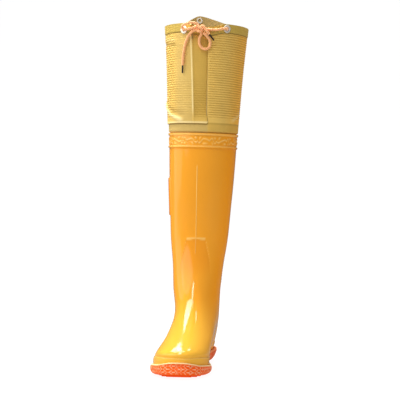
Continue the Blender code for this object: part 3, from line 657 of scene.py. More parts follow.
# Eyelets: name, turn and drop below the rim
EYELETS = (
    ("eyelet_lateral", EYELET_LATERAL_TURN, LATERAL_DROP),
    ("eyelet_medial", EYELET_MEDIAL_TURN, EYELET_DROP),
    ("eyelet_back", PEAK_TURN, EYELET_DROP),
)

# Creases of the cuff: turn and rise above the boot's top of both ends, width and height, all lengths in
# millimetres; and the millimetres round the cuff to a degree of turn
TURN_LENGTH = 1.15
CREASES = (
    (-96.0, 163.0, -34.0, 157.0, 3.8, -0.9),
    (-96.0, 170.0, -34.0, 165.0, 4.2, 0.6),
    (-88.0, 58.0, -52.0, 32.0, 3.6, 2.4),
    (-58.0, 34.0, -22.0, 22.5, 2.9, 2.3),
    (-64.0, 46.0, -18.0, 32.0, 4.6, -0.8),
    (60.0, 24.0, 90.0, 40.0, 3.4, 0.7),
)


scene = bpy.context.scene


def add_object(name, data):
    """An object of this data, linked into the scene."""
    made = bpy.data.objects.new(name, data)
    scene.collection.objects.link(made)
    return made


def add_mesh(name, points, faces, finish, nodes, angle, tint=None):
    """A smooth piece that rides on the part and stands for some of its nodes, with a colour a point."""
    mesh = bpy.data.meshes.new(name)
    mesh.from_pydata(np.asarray(points).tolist(), [], faces)
    if tint is not None:
        colours = np.concatenate([tint, np.ones((len(tint), 1))], axis=1)
        layer = mesh.color_attributes.new("tint", "FLOAT_COLOR", "POINT")
        layer.data.foreach_set("color", colours.astype(np.float32).ravel())
    mesh.shade_smooth()
    mesh.set_sharp_from_angle(angle=math.radians(angle))
    mesh.materials.append(finish)
    piece = add_object(name, mesh)
    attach(piece, "root")
    if nodes:
        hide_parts(*nodes)


def look(name, colour, roughness, **sockets):
    """A Principled material; the sockets' names are given with underscores."""
    made = bpy.data.materials.new(name)
    made.use_nodes = True
    shader = made.node_tree.nodes["Principled BSDF"]
    shader.inputs["Base Color"].default_value = (*colour, 1.0)
    shader.inputs["Roughness"].default_value = roughness
    for socket, value in sockets.items():
        shader.inputs[socket.replace("_", " ")].default_value = value
    return made


def object_noise(finish, scale, detail):
    """The output of a noise over a material, in object coordinates."""
    nodes = finish.node_tree.nodes
    place = nodes.new("ShaderNodeTexCoord")
    noise = nodes.new("ShaderNodeTexNoise")
    noise.inputs["Scale"].default_value = scale
    noise.inputs["Detail"].default_value = detail
    finish.node_tree.links.new(place.outputs["Object"], noise.inputs["Vector"])
    return noise.outputs["Fac"]


def use_tint(finish, scale, dark):
    """Base colour from the mesh's own tint, mottled down to a share of itself by noise."""
    nodes, links = finish.node_tree.nodes, finish.node_tree.links
    tint = nodes.new("ShaderNodeAttribute")
    tint.attribute_name = "tint"
    level = nodes.new("ShaderNodeMapRange")
    for socket, value in (("From Min", 0.3), ("From Max", 0.7), ("To Min", dark), ("To Max", 1.0)):
        level.inputs[socket].default_value = value
    mixed = nodes.new("ShaderNodeVectorMath")
    mixed.operation = "SCALE"
    links.new(object_noise(finish, scale, 4.0), level.inputs["Value"])
    links.new(tint.outputs["Color"], mixed.inputs[0])
    links.new(level.outputs["Result"], mixed.inputs["Scale"])
    links.new(mixed.outputs["Vector"], nodes["Principled BSDF"].inputs["Base Color"])


def noise_bump(finish, scale, strength, distance):
    """Fine unevenness over a material."""
    nodes, links = finish.node_tree.nodes, finish.node_tree.links
    rough = nodes.new("ShaderNodeBump")
    rough.inputs["Strength"].default_value = strength
    rough.inputs["Distance"].default_value = distance
    links.new(object_noise(finish, scale, 3.0), rough.inputs["Height"])
    links.new(rough.outputs["Normal"], nodes["Principled BSDF"].inputs["Normal"])


def painted(colour, *coats):
    """The colour under coats laid on one by one, each a colour and its share at every point."""
    for coat, share in coats:
        share = np.clip(share, 0.0, 1.0)[..., None]
        colour = np.asarray(colour) * (1.0 - share) + np.asarray(coat) * share
    return colour


def ornament(ring, turn):
    """A generic running ornament between the lips of the top band: waves, dots and short bars."""
    low = BAND_RING + LIP_RINGS + EDGE_RINGS
    high = TOP_RING - LIP_RINGS - EDGE_RINGS
    v = (ring - low) / (high - low) * 2.0 - 1.0
    u = turn / 360.0 * BAND_TILES + 0.16 * np.sin(np.radians(turn) * 13.0)
    cell = np.floor(u)
    x = (u - cell) * 2.0 - 1.0
    odd = cell % 2
    side = 1.0 - 2.0 * odd
    swing = 0.44 + 0.12 * np.sin(cell * 2.4)
    wave = bump(v - swing * np.sin(math.pi * (x + odd)), 0.28)
    dot = bump(np.hypot(x * 0.9 - 0.45, v + 0.55 * side), 0.40)
    bar = bump(x + 0.5 - 0.35 * v * side, 0.26) * bump(v - 0.55 * side, 0.50)
    raised = np.maximum(np.maximum(wave, dot), bar)
    return raised * falling(0.72, 0.95, np.abs(v))


def mould_ridge(height, turn, half_turn):
    """The mask of the mould's ridge down the front."""
    return bump(turn, half_turn) * window(*RIDGE_RANGE, height)


def shin_panel(height, turn):
    """The shin panel's mask: level top with round corners, sides that part downwards and fade."""
    off = np.abs(wrapped(turn))
    down = SHIN_TOP - height
    side = np.interp(down, SHIN_DOWN, SHIN_TURNS)
    inside = smooth_step(0.0, SHIN_EDGE, down - SHIN_EDGE * smooth_step(0.0, SHIN_ROUND, off))
    inside = inside * falling(side - SHIN_TURN_EDGE, side + SHIN_TURN_EDGE, off)
    return inside * falling(*SHIN_FADE, down)


def boot_detail(ring, turn):
    """Low relief on the boot: ornament, mould ridge, shin panel, the ankle's curved line, a fuller toe."""
    height = form(ring, turn)[..., 2]
    turn = wrapped(turn)
    detail = ORNAMENT_HEIGHT * ornament(ring, turn) + RIDGE_HEIGHT * mould_ridge(height, turn, RIDGE_TURN)
    detail = detail - SHIN_STEP * shin_panel(height, turn)
    for rise, half_width, fade, raised in SHIN_LINES:
        line = bump(height - SHIN_TOP - rise, half_width) * falling(*fade, np.abs(turn))
        detail = detail + raised * line
    off = turn - ANKLE_TURN
    ankle = bump(height - ANKLE_LOW - ANKLE_CURVE * off ** 2, ANKLE_HALF_WIDTH)
    detail = detail + ANKLE_HEIGHT * ankle * falling(*ANKLE_FADE, np.abs(off))
    toe = bump(ring - TOE_RING, np.where(ring < TOE_RING, *TOE_HALF_WIDTHS))
    return detail + TOE_FULL * toe * falling(*TOE_FADE, np.abs(turn))


def shell_tint(ring, turn):
    """The vinyl's colour: painted highlights on thin raised edges and above the rand, painted light on the
    foot, painted shade on the inner side and under the band's lower lip; deeper in the shin panel and on
    the side plate.
    """
    height = form(ring, turn)[..., 2]
    turn = wrapped(turn)
    lit_foot = falling(*LIT_FOOT_FADE, height) * (1.0 - 0.6 * smooth_step(*LIT_FOOT_TURNS, turn))
    top_lip = bump(ring - TOP_RING + LIP_RINGS * 0.8, LIP_RINGS)
    low_lip = bump(ring - BAND_RING - LIP_RINGS, LIP_RINGS)
    arch = SHIN_EDGE * np.sin(np.clip(np.abs(turn) / LIP_TURNS[1], 0.0, 1.0) * math.pi)
    shin_lip = bump(height - SHIN_TOP - arch, 0.0019) * falling(*LIP_TURNS, np.abs(turn))
    panel = shin_panel(height, turn)
    outline = 4.0 * panel * (1.0 - panel) * falling(0.020, 0.050, SHIN_TOP - height)
    return painted(
        SHELL,
        # Painted shade on the inner side, away from the light.
        (SHELL_INNER_SHADE, window(*INNER_SHADE_TURNS, turn)),
        # Painted light on the foot, most on its outer side.
        (SHELL_FOOT_LIGHT, lit_foot),
        # Painted highlights on the ornament and on the top band's two lips.
        (SHELL_HIGHLIGHT, 0.7 * ornament(ring, turn)),
        (SHELL_HIGHLIGHT, 0.55 * (top_lip + low_lip)),
        # Painted shade under the top band's lower lip.
        (SHELL_DEEP, 0.6 * bump(ring - BAND_RING + EDGE_RINGS * 1.6, EDGE_RINGS * 1.8)),
        # Painted highlights along the mould ridge and the shin panel's top lip.
        (SHELL_HIGHLIGHT, 0.9 * mould_ridge(height, turn, RIDGE_TURN * 2.0) + 0.85 * shin_lip),
        (SHELL_DEEP, 0.30 * panel),
        # Painted highlight along the shin panel's outline.
        (SHELL_HIGHLIGHT, 0.45 * outline),
        (SHELL_DEEP, 0.8 * plate_mask(ring, turn)),
        # Painted highlight on the fillet just above the rand.
        (SHELL_HIGHLIGHT, 0.5 * bump(ring - RAND_RING, 0.10)),
    )


def spaced(turns, least):
    """The turns in order, without those too near the one before."""
    turns = np.unique(np.round(turns, 2))
    return turns[np.concatenate([[True], np.diff(turns) > least])]


def closed_wall(outer, inner, tint, inside):
    """Points, faces and tint of a wall: rings of its outer face upwards, of its inner one downwards."""
    points = np.concatenate([outer, inner])
    tint = np.concatenate([tint, np.broadcast_to(inside, inner.shape)])
    return points.reshape(-1, 3), ring_faces(*points.shape[:2], True), tint.reshape(-1, 3)


def make_boot(finish):
    before, after = PLATE_TURN - PLATE_HALF_TURN, PLATE_TURN + PLATE_HALF_TURN
    turns = spaced(spans(
        (-180.0, 180.0, 236, False), (-3.0, 3.0, 25),
        (after, after + PLATE_EDGE_TURN, 4), (before, before - PLATE_EDGE_TURN, 4),
    ), 0.14)
    rand_end = RAND_RING + STEP_RINGS
    lip = LIP_RINGS + EDGE_RINGS
    rings = np.unique(spans(
        (0.0, RAND_RING - 0.02, 10), (RAND_RING, rand_end, 5), (rand_end + 0.02, 8.0, 84),
        (8.05, BAND_RING - EDGE_RINGS, 92), (BAND_RING - EDGE_RINGS * 0.8, BAND_RING + lip, 15),
        (BAND_RING + lip, TOP_RING - lip, 26), (TOP_RING - lip, TOP_RING, 9),
    ))
    grid, turn = np.meshgrid(rings, turns, indexing="ij")
    outer = lifted(grid, turn, upper_relief(grid, turn) + boot_detail(grid, turn))
    inner_rings = spans((TOP_RING, TOP_RING, 1), (TOP_RING - 0.1, 0.0, 30))
    inner = lifted(*np.meshgrid(inner_rings, turns, indexing="ij"), -SHELL_WALL)
    points, faces, tint = closed_wall(outer, inner, shell_tint(grid, turn), SHELL_INSIDE)
    add_mesh("boot_shell", points, faces, finish, ["upper"], 55.0, tint)


def ribs(height, turn):
    """Level ribs of the cloth, weaker where it is drawn smooth: mask times a round crest."""
    rise = height - BOOT_TOP
    turn = wrapped(turn)
    crest = np.abs(np.sin(math.pi * rise / RIB_PITCH)) ** 0.8 - 0.6
    smooth = window(*SMOOTH_START, PLEAT_LEFT - 2.0, PLEAT_LEFT, turn)
    low = 1.0 - 0.45 * window(0.030, 0.050, 0.080, 0.100, rise)
    high = smooth_step(0.070, 0.100, rise)
    strength = 1.0 - 0.85 * smooth * low - pleat_strip(turn) * (0.30 + 0.62 * high)
    strength = strength * (1.0 - bump(turn - PLEAT_LEFT, 3.0)) * (1.0 - bump(turn - PLEAT_RIGHT - 2.0, 4.0))
    hem = hem_edge(turn)
    strength = strength * (1.0 - 0.72 * smooth_step(hem - 0.001, hem + 0.001, height))
    return crest * strength * smooth_step(CUFF_BAND + 0.005, CUFF_BAND + 0.014, rise)


def creases(height, turn):
    """The listed folds, each a soft ridge or valley along a line."""
    up = (height - BOOT_TOP) / MM
    around = wrapped(turn) * TURN_LENGTH
    total = 0.0
    for turn_a, rise_a, turn_b, rise_b, width, depth in CREASES:
        run, climb = (turn_b - turn_a) * TURN_LENGTH, rise_b - rise_a
        length = math.hypot(run, climb)
        run, climb = run / length, climb / length
        x, y = around - turn_a * TURN_LENGTH, up - rise_a
        along = x * run + y * climb
        across = y * run - x * climb
        ends = window(-4.0, 4.0, length - 12.0, length, along)
        total = total + depth * MM * np.exp(-(across / width) ** 2) * ends
    return total


def cloth_tint(height, turn):
    """The cloth's colour: olive at the hem; painted shade in rib grooves, pleat strip and crevice, crease
    valleys, stitch line, under the overlap and on the inner side; painted highlights on the pleat's ridge,
    the overlap's lip and crease ridges; the lower band painted lighter on its left side and darker on its
    right.
    """
    rise = height - BOOT_TOP
    turn = wrapped(turn)
    strip = window(*LEFT_FOLD, PLEAT_RIGHT + 1.0, RIGHT_FOLD[1], turn) * pleat_growth(rise)
    smooth = window(-46.0, -30.0, PLEAT_LEFT - 2.0, PLEAT_LEFT, turn)
    band = falling(CUFF_BAND, CUFF_BAND + OVERLAP_EDGE, rise)
    left = window(*LIT_BAND_TURNS, *RIGHT_FOLD, turn)
    hem = hem_edge(turn)
    above = smooth_step(hem - 0.0005, hem + 0.0005, height)
    grown = smooth_step(PLEAT_START + 0.005, PLEAT_FULL, rise) * (1.0 - above)
    # Masks of painted light and shade: a highlight on the pleat's ridge, and shade in the crevice at its
    # inner fold.
    edge = bump(turn - PLEAT_LEFT + 0.4, 1.5) * grown * smooth_step(0.022, 0.050, rise)
    crevice_shade = bump(turn - PLEAT_RIGHT - 1.6, 2.2) * smooth_step(CUFF_BAND - 0.002, CUFF_BAND + 0.006, rise)
    crease = creases(height, turn) / MM
    return painted(
        CLOTH,
        # Painted shade: deeper amber on the inner side, away from the light.
        (CLOTH_INNER_SHADE, window(*AMBER_SHADE_TURNS, turn)),
        # Paler where the cloth is drawn smooth; painted light on the lower band's left side and painted
        # shade on its right.
        (CLOTH_PALE, np.maximum(smooth * 0.5, band * left * 0.7)),
        (CLOTH_DEEP_SHADE, 0.45 * band * (1.0 - left)),
        (CLOTH_OLIVE, 0.75 * above),
        # Painted shade on the pleat's set-back strip and in the ribs' grooves.
        (CLOTH_DEEP_SHADE, 0.62 * strip),
        (CLOTH_DEEP_SHADE, -2.0 * ribs(height, turn)),
        # Painted highlight along the pleat's ridge.
        (CLOTH_HIGHLIGHT, 0.8 * edge),
        # Painted shade in the crevice at the pleat's inner fold.
        (CLOTH_SHADE, 0.75 * crevice_shade * (1.0 - 0.6 * above)),
        # Painted shadow under the overlap's lower edge.
        (CLOTH_SHADE, bump(rise - CUFF_BAND + 0.0010, 0.0028) * (0.25 + 0.75 * left)),
        # Painted highlight on the overlap's lower lip.
        (CLOTH_HIGHLIGHT, 0.7 * bump(rise - CUFF_BAND - 0.0032, 0.0022) * left),
        # Painted shade along the hem's stitch line.
        (CLOTH_SHADE, 0.7 * bump(height - hem - STITCH_RISE, 0.0014)),
        # Painted highlights on the creases' ridges and painted shade in their valleys.
        (CLOTH_HIGHLIGHT, 0.38 * np.clip(crease, 0.0, 1.6)),
        (CLOTH_SHADE, 0.35 * np.clip(-crease, 0.0, 1.5)),
    )


def cloth_detail(height, turn):
    """Relief beyond the solid's: ribs, folds, the hem's stitch line and the pleat's shallower strip."""
    rise = height - BOOT_TOP
    turn = wrapped(turn)
    strip = window(*LEFT_FOLD, PLEAT_RIGHT - 1.0, PLEAT_RIGHT + 1.0, turn) * pleat_growth(rise)
    lift = np.interp(turn, (PLEAT_LEFT, PLEAT_RIGHT), STRIP_LIFT) * strip
    stitches = STITCH_DEPTH * bump(height - hem_edge(turn) - STITCH_RISE, 0.0013)
    detail = RIB_HEIGHT * ribs(height, turn) + creases(height, turn) - stitches
    fuller = smooth_step(0.0004, 0.0024, rise) - smooth_step(0.0, CUFF_FLARE, rise)
    return detail + lift + (CUFF_SWELL + SHELL_WALL + TUCK_GAP) * np.maximum(fuller, 0.0)


def cloth_outer(height, turn):
    """The cloth's outer face: the solid's relief and the detail, with both pleat edges and the
    overlap's lower edge leaning over what lies beneath them."""
    near = wrapped(turn)
    rise = height - BOOT_TOP
    hem = hem_edge(turn)
    free = pleat_growth(rise) * (1.0 - 0.8 * smooth_step(hem - 0.012, hem, height))
    right = window(*RIGHT_FOLD, RIGHT_FOLD[1], FOLD_LEAN_END, near)
    left = window(RIDGE_LEAN_START, PLEAT_LEFT, *LEFT_FOLD, near)
    level = np.clip(rise / CUFF_RISE, 0.0, 1.0)
    slant = SLANT_LOW + (SLANT_HIGH - SLANT_LOW) * level
    placed = turn + free * (RIDGE_LEAN * left - FOLD_LEAN * right)
    placed = placed + slant * window(*SLANT_RANGE, near)
    placed = placed + FOLD_SLANT * (1.0 - level) * window(*FOLD_SLANT_RANGE, near)
    over = CUFF_BAND + OVERLAP_EDGE
    lap = window(CUFF_BAND, over, over, CUFF_BAND + LAP_END, rise) * falling(*RIGHT_FOLD, near)
    out = cuff_relief(height, turn) + cloth_detail(height, turn)
    return lifted(ring_of(height - LAP_DROP * lap), placed, out)


def make_cloth(finish):
    turns = spaced(spans(
        (-180.0, 180.0, 190, False), (PLEAT_LEFT - 4.0, LEFT_FOLD[1] + 1.0, 11),
        (PLEAT_RIGHT - 1.5, RIGHT_FOLD[1] + 3.0, 11),
    ), 0.3)
    step = BOOT_TOP + CUFF_BAND
    step_end = step + OVERLAP_EDGE
    start_hem = BOOT_TOP + CUFF_RISE - 2 * HEM_DEPTH
    level = spans(
        (BOOT_TOP - CUFF_TUCK, BOOT_TOP + CUFF_FLARE, 12), (BOOT_TOP + 0.008, step - 0.001, 8),
        (step, step_end, 5),
    )
    level = np.concatenate([level, np.arange(step_end + 0.0005, start_hem, RIB_PITCH / 7)])
    rim = rim_height(turns)
    hem_rows = [start_hem + (rim - start_hem) * t for t in np.linspace(0.0, 1.0, 64)]
    grid = np.concatenate([np.repeat(level[:, None], len(turns), axis=1), hem_rows])
    turn = np.broadcast_to(turns, grid.shape)
    inner_rows = grid[[*range(len(grid) - 1, 0, -9), 0]]
    inner = cuff_inner(inner_rows, np.broadcast_to(turns, inner_rows.shape))
    points, faces, tint = closed_wall(cloth_outer(grid, turn), inner, cloth_tint(grid, turn), CLOTH_INSIDE)
    middles = points[np.array(faces)].mean(axis=1)
    holes = np.zeros(len(faces), bool)
    for _, eyelet_turn, drop in EYELETS:
        centre, axes, _ = eyelet_place(eyelet_turn, drop)
        x, y, z = ((middles - centre) @ axes).T
        holes |= (np.hypot(x, y) < EYELET_BORE + EYELET_WALL) & (np.abs(z) < HOLE_REACH)
    faces = [face for face, hole in zip(faces, holes) if not hole]
    add_mesh("cuff_cloth", points, faces, finish, ["cuff"], 60.0, tint)


def leaf_relief(around, up):
    """The leaf relief on the sole's side: two families of wavy ridges that cross; both in metres."""
    drift = DRIFT * np.sin(2.0 * math.pi * around / DRIFT_LENGTH)
    sway = LEAF_SWAY * np.sin(2.0 * math.pi * around / SWAY_LENGTH + drift)
    raised = 0.0
    for way in (1.0, -1.0):
        row = up / LEAF_ROW + way * sway
        number = np.floor(row)
        ridge = bump(row - number - 0.5, 0.19)
        place = around / LEAF_LENGTH + 0.5 * number + 0.3 * way
        raised = np.maximum(raised, ridge * (0.15 + 0.75 * bump(place - np.floor(place) - 0.5, 0.50)))
    return raised


def make_sole(finish):
    turns = np.linspace(0.0, 360.0, 560, endpoint=False)
    out = outward(turns)
    edge = lifted(0.0, turns, upper_relief(0.0, turns))
    around = distances(edge)
    # Painted shade: the sole darker towards the heel.
    rear_shade = smooth_step(*REAR_SHADE_RANGE, edge[:, 1])
    base_tint = painted(SOLE, (SOLE_REAR_SHADE, rear_shade))
    # Painted highlight along the lip's crest, weaker towards the heel.
    crest_highlight_tint = painted(SOLE_CREST_HIGHLIGHT, (SOLE, 0.65 * rear_shade))
    top = edge + out * LIP_GAP
    top[:, 2] = edge[:, 2] - GAP
    rows, tints = [top], [base_tint] * 4
    lip_ring = sole_lip(turns) / (FOOT_RINGS[1][1] - FOOT_RINGS[0][1]) / INSTEP_HEIGHT
    for ring in (lip_ring * 0.3, lip_ring * 0.6, lip_ring * 0.9, lip_ring):
        rows.append(lifted(ring, turns, upper_relief(ring, turns) + LIP_GAP))
    lip = rows.pop()
    for base, (aside, drop), angles in ((lip, LIP_ROUND, (10.0, 35.0, 60.0, 85.0)),
                                        (lip + out * SOLE_LEDGE, LEDGE_ROUND, (80.0, 55.0, 30.0, 8.0))):
        for angle in np.radians(angles):
            row = base + out * aside * (1.0 - math.cos(angle))
            row[:, 2] = lip[:, 2] - drop * (1.0 - math.sin(angle))
            rows.append(row)
            tints.append(crest_highlight_tint)
    low = tread_height(edge[:, 1]) + LUG_DEPTH
    shares, reaches = zip(*SOLE_SIDE)
    height = edge[:, 2] - low
    start = (lip[:, 2] - SIDE_DROP - low) / height
    taper = HEEL_TAPER * falling(*WAIST_BACK, (HEEL_BACK - edge[:, 1]) / SHELL_LENGTH)
    for t in np.linspace(0.0, 1.0, 30):
        share = start * (1.0 - t)
        reach = np.interp(share, shares, reaches) - taper * (1.0 - share / WIDEST_SHARE)
        leaf = leaf_relief(around, share * height) * window(0.03, 0.10, 0.86, 0.98, t)
        row = edge + out * (reach + LEAF_HEIGHT * leaf)[:, None]
        row[:, 2] = low + share * height
        rows.append(row)
        # Painted highlights on the leaf ridges, fainter towards the heel, and on the crest just under the
        # lip.
        crest = np.full(len(turns), falling(0.01, 0.05, t))
        tints.append(painted(base_tint, (SOLE_LEAF_HIGHLIGHT, leaf * (1.0 - 0.55 * rear_shade)), (crest_highlight_tint, crest)))
    base = edge - out * (SOLE_TUCK + taper)[:, None]
    base[:, 2] = low
    rows.append(base)
    tints.append(base_tint)
    columns = len(turns)
    faces = ring_faces(len(rows), columns, False)
    for first, flip in ((0, True), ((len(rows) - 1) * columns, False)):
        for j in range(columns // 2):
            corners = (j, j + 1, columns - j - 1, (columns - j) % columns)
            face = list(dict.fromkeys(first + corner for corner in corners))
            if len(face) > 2:
                faces.append(tuple(face[::-1] if flip else face))
    points = np.concatenate(rows)
    add_mesh("sole_body", points, faces, finish, ["outsole"], 50.0, np.concatenate(tints))


def make_bars(finish):
    """The tread bars, each a chevron with narrowed foot."""
    heel = [k * HEEL_BAR_PITCH for k in range(-HEEL_BARS_EACH_SIDE, HEEL_BARS_EACH_SIDE + 1)]
    fore = HEEL_BACK - np.linspace(FORE_FIRST, FORE_LAST, FORE_BARS) * SHELL_LENGTH
    points, faces = [], []
    for y, sweep in [(y, 0.0) for y in heel] + [(y, FORE_SWEEP) for y in fore]:
        inner, outer = sole_sides(y)
        middle = (inner + outer) / 2
        half = (inner - outer) / 2 - BAR_INSET
        sides = [(share, abs(share) * sweep) for share in (-1.0, -0.5, 0.0, 0.5, 1.0)]
        first = len(points)
        count = 2 * len(sides)
        for rise, narrow in ((0.0, 0.0008), (0.0006, 0.0), (LUG_DEPTH + BAR_ROOT, 0.0)):
            start = y - BAR_WIDTH / 2 + narrow
            front = [(middle + s * (half - narrow), start + b * half) for s, b in sides]
            back = [(x, front_y + BAR_WIDTH - 2 * narrow) for x, front_y in reversed(front)]
            points += [(x, bar_y, float(tread_height(bar_y)) + rise) for x, bar_y in front + back]
        faces += [tuple(first + k for k in face) for face in ring_faces(3, count, False)]
        for j in range(len(sides) - 1):
            faces.append((first + j, first + count - 1 - j, first + count - 2 - j, first + j + 1))
    tint = np.broadcast_to(SOLE, (len(points), 3))
    add_mesh("sole_bars", points, faces, finish, [], 30.0, tint)


def make_eyelet(name, turn, drop, finish):
    """A turned eyelet with a rolled flange."""
    centre, axes, wall = eyelet_place(turn, drop)
    front, back = FLANGE_GAP, -wall - FLANGE_GAP
    tube = EYELET_BORE + EYELET_WALL
    roll = [(EYELET_BORE + 0.5 * (EYELET_FLANGE - EYELET_BORE) * (1.0 - math.cos(a)),
             front + EYELET_PLATE * 1.2 * math.sin(a)) for a in np.linspace(0.0, math.pi, 10)]
    profile = [*roll[::-1], (EYELET_BORE, back), (EYELET_BORE, back - EYELET_PLATE),
               (EYELET_WASHER, back - EYELET_PLATE), (EYELET_WASHER, back), (tube, back), (tube, front)]
    points = []
    for radius, z in profile:
        for angle in np.linspace(0.0, 2.0 * math.pi, EYELET_SIDES, endpoint=False):
            points.append(centre + axes @ (radius * math.cos(angle), radius * math.sin(angle), z))
    faces = [face[::-1] for face in ring_faces(len(profile), EYELET_SIDES, True)]
    add_mesh(name + "_ring", points, faces, finish, [name], 40.0)


def smooth_route(points):
    """Points about CORD_STEP apart on the smooth curve through the given ones, and its length."""
    reach = distances(points)
    fine = spline(reach, points)(np.linspace(0.0, reach[-1], 900))
    reach = distances(fine)
    wanted = np.linspace(0.0, reach[-1], max(8, int(reach[-1] / CORD_STEP)))
    return np.stack([np.interp(wanted, reach, fine[:, k]) for k in range(3)], -1), float(reach[-1])


def add_cord(name, route, finish, nodes, width=CORD):
    """A stretch of cord as a round curve, with its points and length."""
    points, length = smooth_route(route)
    curve = bpy.data.curves.new(name, "CURVE")
    curve.dimensions = "3D"
    curve.bevel_depth = width / 2
    curve.bevel_resolution = 5
    curve.use_fill_caps = True
    line = curve.splines.new("POLY")
    line.points.add(len(points) - 1)
    for place, point in zip(line.points, points):
        place.co = (*point, 1.0)
    line.use_smooth = True
    curve.materials.append(finish)
    piece = add_object(name, curve)
    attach(piece, "root")
    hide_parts(*nodes)
    return piece, points, length


def make_cords(braid, tip):
    lateral, lateral_axes, wall = eyelet_place(EYELET_LATERAL_TURN, LATERAL_DROP)
    medial, medial_axes, _ = eyelet_place(EYELET_MEDIAL_TURN)
    inside, outside = -wall - 0.002, 0.001
    start = [lateral + lateral_axes[:, 2] * z for z in (inside, outside)]
    end = [medial + medial_axes[:, 2] * z for z in (outside, inside)]
    route = np.concatenate([start, cord_route(BAR_ROUTE), end])
    piece, points, length = add_cord("cord_bar", route, braid, ["lace_bar"])
    knot, _, _ = add_cord("cord_knot", cord_route(KNOT_ROUTE), braid, ["lace_knot"], CORD * 1.05)
    for name, route, nodes, aglet, others in (
        ("cord_long", [*END_LONG_ROUTE[::-1], *KNOT_THROUGH_LONG, *LOOP_SIDE_ROUTE],
         ["lace_end_long", "lace_loop_side"], "aglet_long", [knot]),
        ("cord_short", [*END_SHORT_ROUTE[::-1], *KNOT_THROUGH_SHORT, *LOOP_LOW_ROUTE],
         ["lace_end_short", "lace_loop_low"], "aglet_short", []),
    ):
        piece, points, length = add_cord(name, cord_route(route), braid, nodes)
        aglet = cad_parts[aglet]
        aglet.material_slots[0].material = tip


shell = look("shell_pvc", SHELL, 0.11, Specular_IOR_Level=0.50)
cloth = look("cuff_cloth", CLOTH, 0.60, Specular_IOR_Level=0.20)
rubber = look("sole_rubber", SOLE, 0.50, Specular_IOR_Level=0.08)
use_tint(shell, 9.0, 0.95)
use_tint(cloth, 45.0, 0.92)
use_tint(rubber, 120.0, 0.92)
lining = look("insole_cloth", LINING, 0.85)
metal = look("eyelet_metal", METAL, 0.48, Metallic=0.5)
braid = look("cord_braid", BRAID, 0.75, Sheen_Weight=0.25)
tip = look("aglet_plastic", TIP, 0.35)
noise_bump(cloth, 900.0, 0.035, 0.0004)
noise_bump(braid, 1400.0, 0.35, 0.0005)

make_boot(shell)
make_cloth(cloth)
make_sole(rubber)
make_bars(rubber)
for name, turn, drop in EYELETS:
    make_eyelet(name, turn, drop, metal)
make_cords(braid, tip)
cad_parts["insole"].material_slots[0].material = lining


# Camera at the photograph's angle
AZIMUTH = 8.0
DISTANCE = 2.3
CAMERA_HEIGHT = 0.334
FOCAL_PIXELS = 1242.0
FRAME_PIXELS = 400.0
HORIZON_PIXELS = 19.8
ASIDE_PIXELS = 4.1
SENSOR_WIDTH = 36.0
camera_data = bpy.data.cameras.new("camera")
camera_data.sensor_width = SENSOR_WIDTH
camera_data.lens = FOCAL_PIXELS / FRAME_PIXELS * SENSOR_WIDTH
camera_data.clip_end = 50.0
camera = add_object("camera", camera_data)
yaw = math.radians(AZIMUTH)
camera.location = (math.sin(yaw) * DISTANCE, -math.cos(yaw) * DISTANCE, CAMERA_HEIGHT)
camera.rotation_euler = (math.pi / 2 - math.atan(HORIZON_PIXELS / FOCAL_PIXELS), 0.0,
                         yaw - math.atan(ASIDE_PIXELS / FOCAL_PIXELS))
scene.camera = camera

# Soft boxes: name, aim (x, y, z), azimuth and elevation seen from there, distance, width, height,
# and how bright the box is
PANELS = (
    ("front_left", (0.0, 0.0, 0.30), -48.0, 25.0, 3.0, 3.5, 3.2, 1.45),
    ("overhead", (-0.42, -0.17, 0.10), 176.0, 73.0, 1.5, 1.16, 1.30, 9.0),
    ("overhead_back", (0.02, 0.42, 0.10), 180.0, 84.0, 1.5, 0.90, 0.66, 8.0),
    ("front_strip", (-0.16, -0.05, 0.10), 0.0, 62.0, 1.5, 0.18, 1.00, 12.0),
    ("left_side", (0.0, 0.0, 0.30), -88.0, 8.0, 2.2, 1.9, 1.9, 0.97),
)


def add_panel(name, aim, azimuth, elevation, distance, width, height, bright):
    """A soft box seen from aim at an azimuth (0 is the front, 90 the inner side) and elevation."""
    around, up = math.radians(azimuth), math.radians(elevation)
    way = np.array([math.sin(around) * math.cos(up), -math.cos(around) * math.cos(up), math.sin(up)])
    area = math.pi * width * height / 4
    data = bpy.data.lights.new(name, "AREA")
    data.shape = "ELLIPSE"
    data.size, data.size_y = width, height
    data.energy = math.pi * area * bright
    light = add_object(name, data)
    light.location = np.array(aim) + way * distance
    light.rotation_euler = (math.pi / 2 - up, 0.0, around)


for panel in PANELS:
    add_panel(*panel)


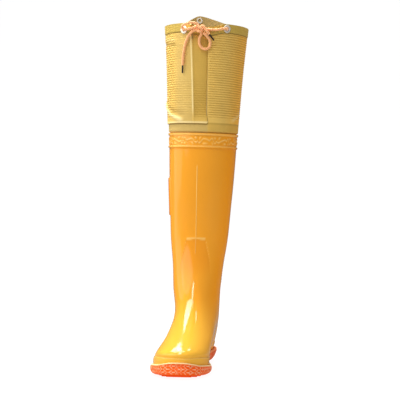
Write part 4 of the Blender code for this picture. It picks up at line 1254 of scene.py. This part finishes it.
def ray_strength(tree, direct, mirrored, other):
    """One strength where the camera sees the surface itself, one in its reflections, one elsewhere."""
    path = tree.nodes.new("ShaderNodeLightPath")
    reflected = tree.nodes.new("ShaderNodeMapRange")
    reflected.inputs["To Min"].default_value = other
    reflected.inputs["To Max"].default_value = mirrored
    level = tree.nodes.new("ShaderNodeMapRange")
    level.inputs["To Max"].default_value = direct
    tree.links.new(path.outputs["Is Glossy Ray"], reflected.inputs["Value"])
    tree.links.new(reflected.outputs["Result"], level.inputs["To Min"])
    tree.links.new(path.outputs["Is Camera Ray"], level.inputs["Value"])
    return level.outputs["Result"]


world = bpy.data.worlds.new("studio")
world.use_nodes = True
background = world.node_tree.nodes["Background"]
background.inputs["Color"].default_value = (1.0, 1.0, 1.0, 1.0)
brightness = ray_strength(world.node_tree, direct=1.0, mirrored=0.10, other=0.53)
world.node_tree.links.new(brightness, background.inputs["Strength"])
scene.world = world


# The stage: half width, front, where it bends up, the bend's radius and the backdrop's top
STAGE_HALF = 2.5
STAGE_FRONT = -0.9
STAGE_BEND = 2.0
STAGE_RADIUS = 1.5
STAGE_TOP = 6.0


def make_stage():
    """A pale floor that curves up into a backdrop."""
    finish = look("stage_white", STAGE_GREY, 0.9, Emission_Color=(1.0, 1.0, 1.0, 1.0))
    shader = finish.node_tree.nodes["Principled BSDF"]
    level = ray_strength(finish.node_tree, direct=0.93, mirrored=0.03, other=0.80)
    finish.node_tree.links.new(level, shader.inputs["Emission Strength"])
    profile = [(STAGE_FRONT, 0.0), (STAGE_BEND, 0.0)]
    for angle in np.linspace(0.1, math.pi / 2, 12):
        along = STAGE_BEND + STAGE_RADIUS * math.sin(angle)
        profile.append((along, STAGE_RADIUS * (1.0 - math.cos(angle))))
    profile.append((STAGE_BEND + STAGE_RADIUS, STAGE_TOP))
    points = [(x, y, z) for y, z in profile for x in (-STAGE_HALF, STAGE_HALF)]
    faces = [(2 * i, 2 * i + 1, 2 * i + 3, 2 * i + 2) for i in range(len(profile) - 1)]
    mesh = bpy.data.meshes.new("stage")
    mesh.from_pydata(points, [], faces)
    mesh.shade_smooth()
    mesh.materials.append(finish)
    add_object("stage", mesh)


make_stage()
scene.view_settings.view_transform = "Standard"
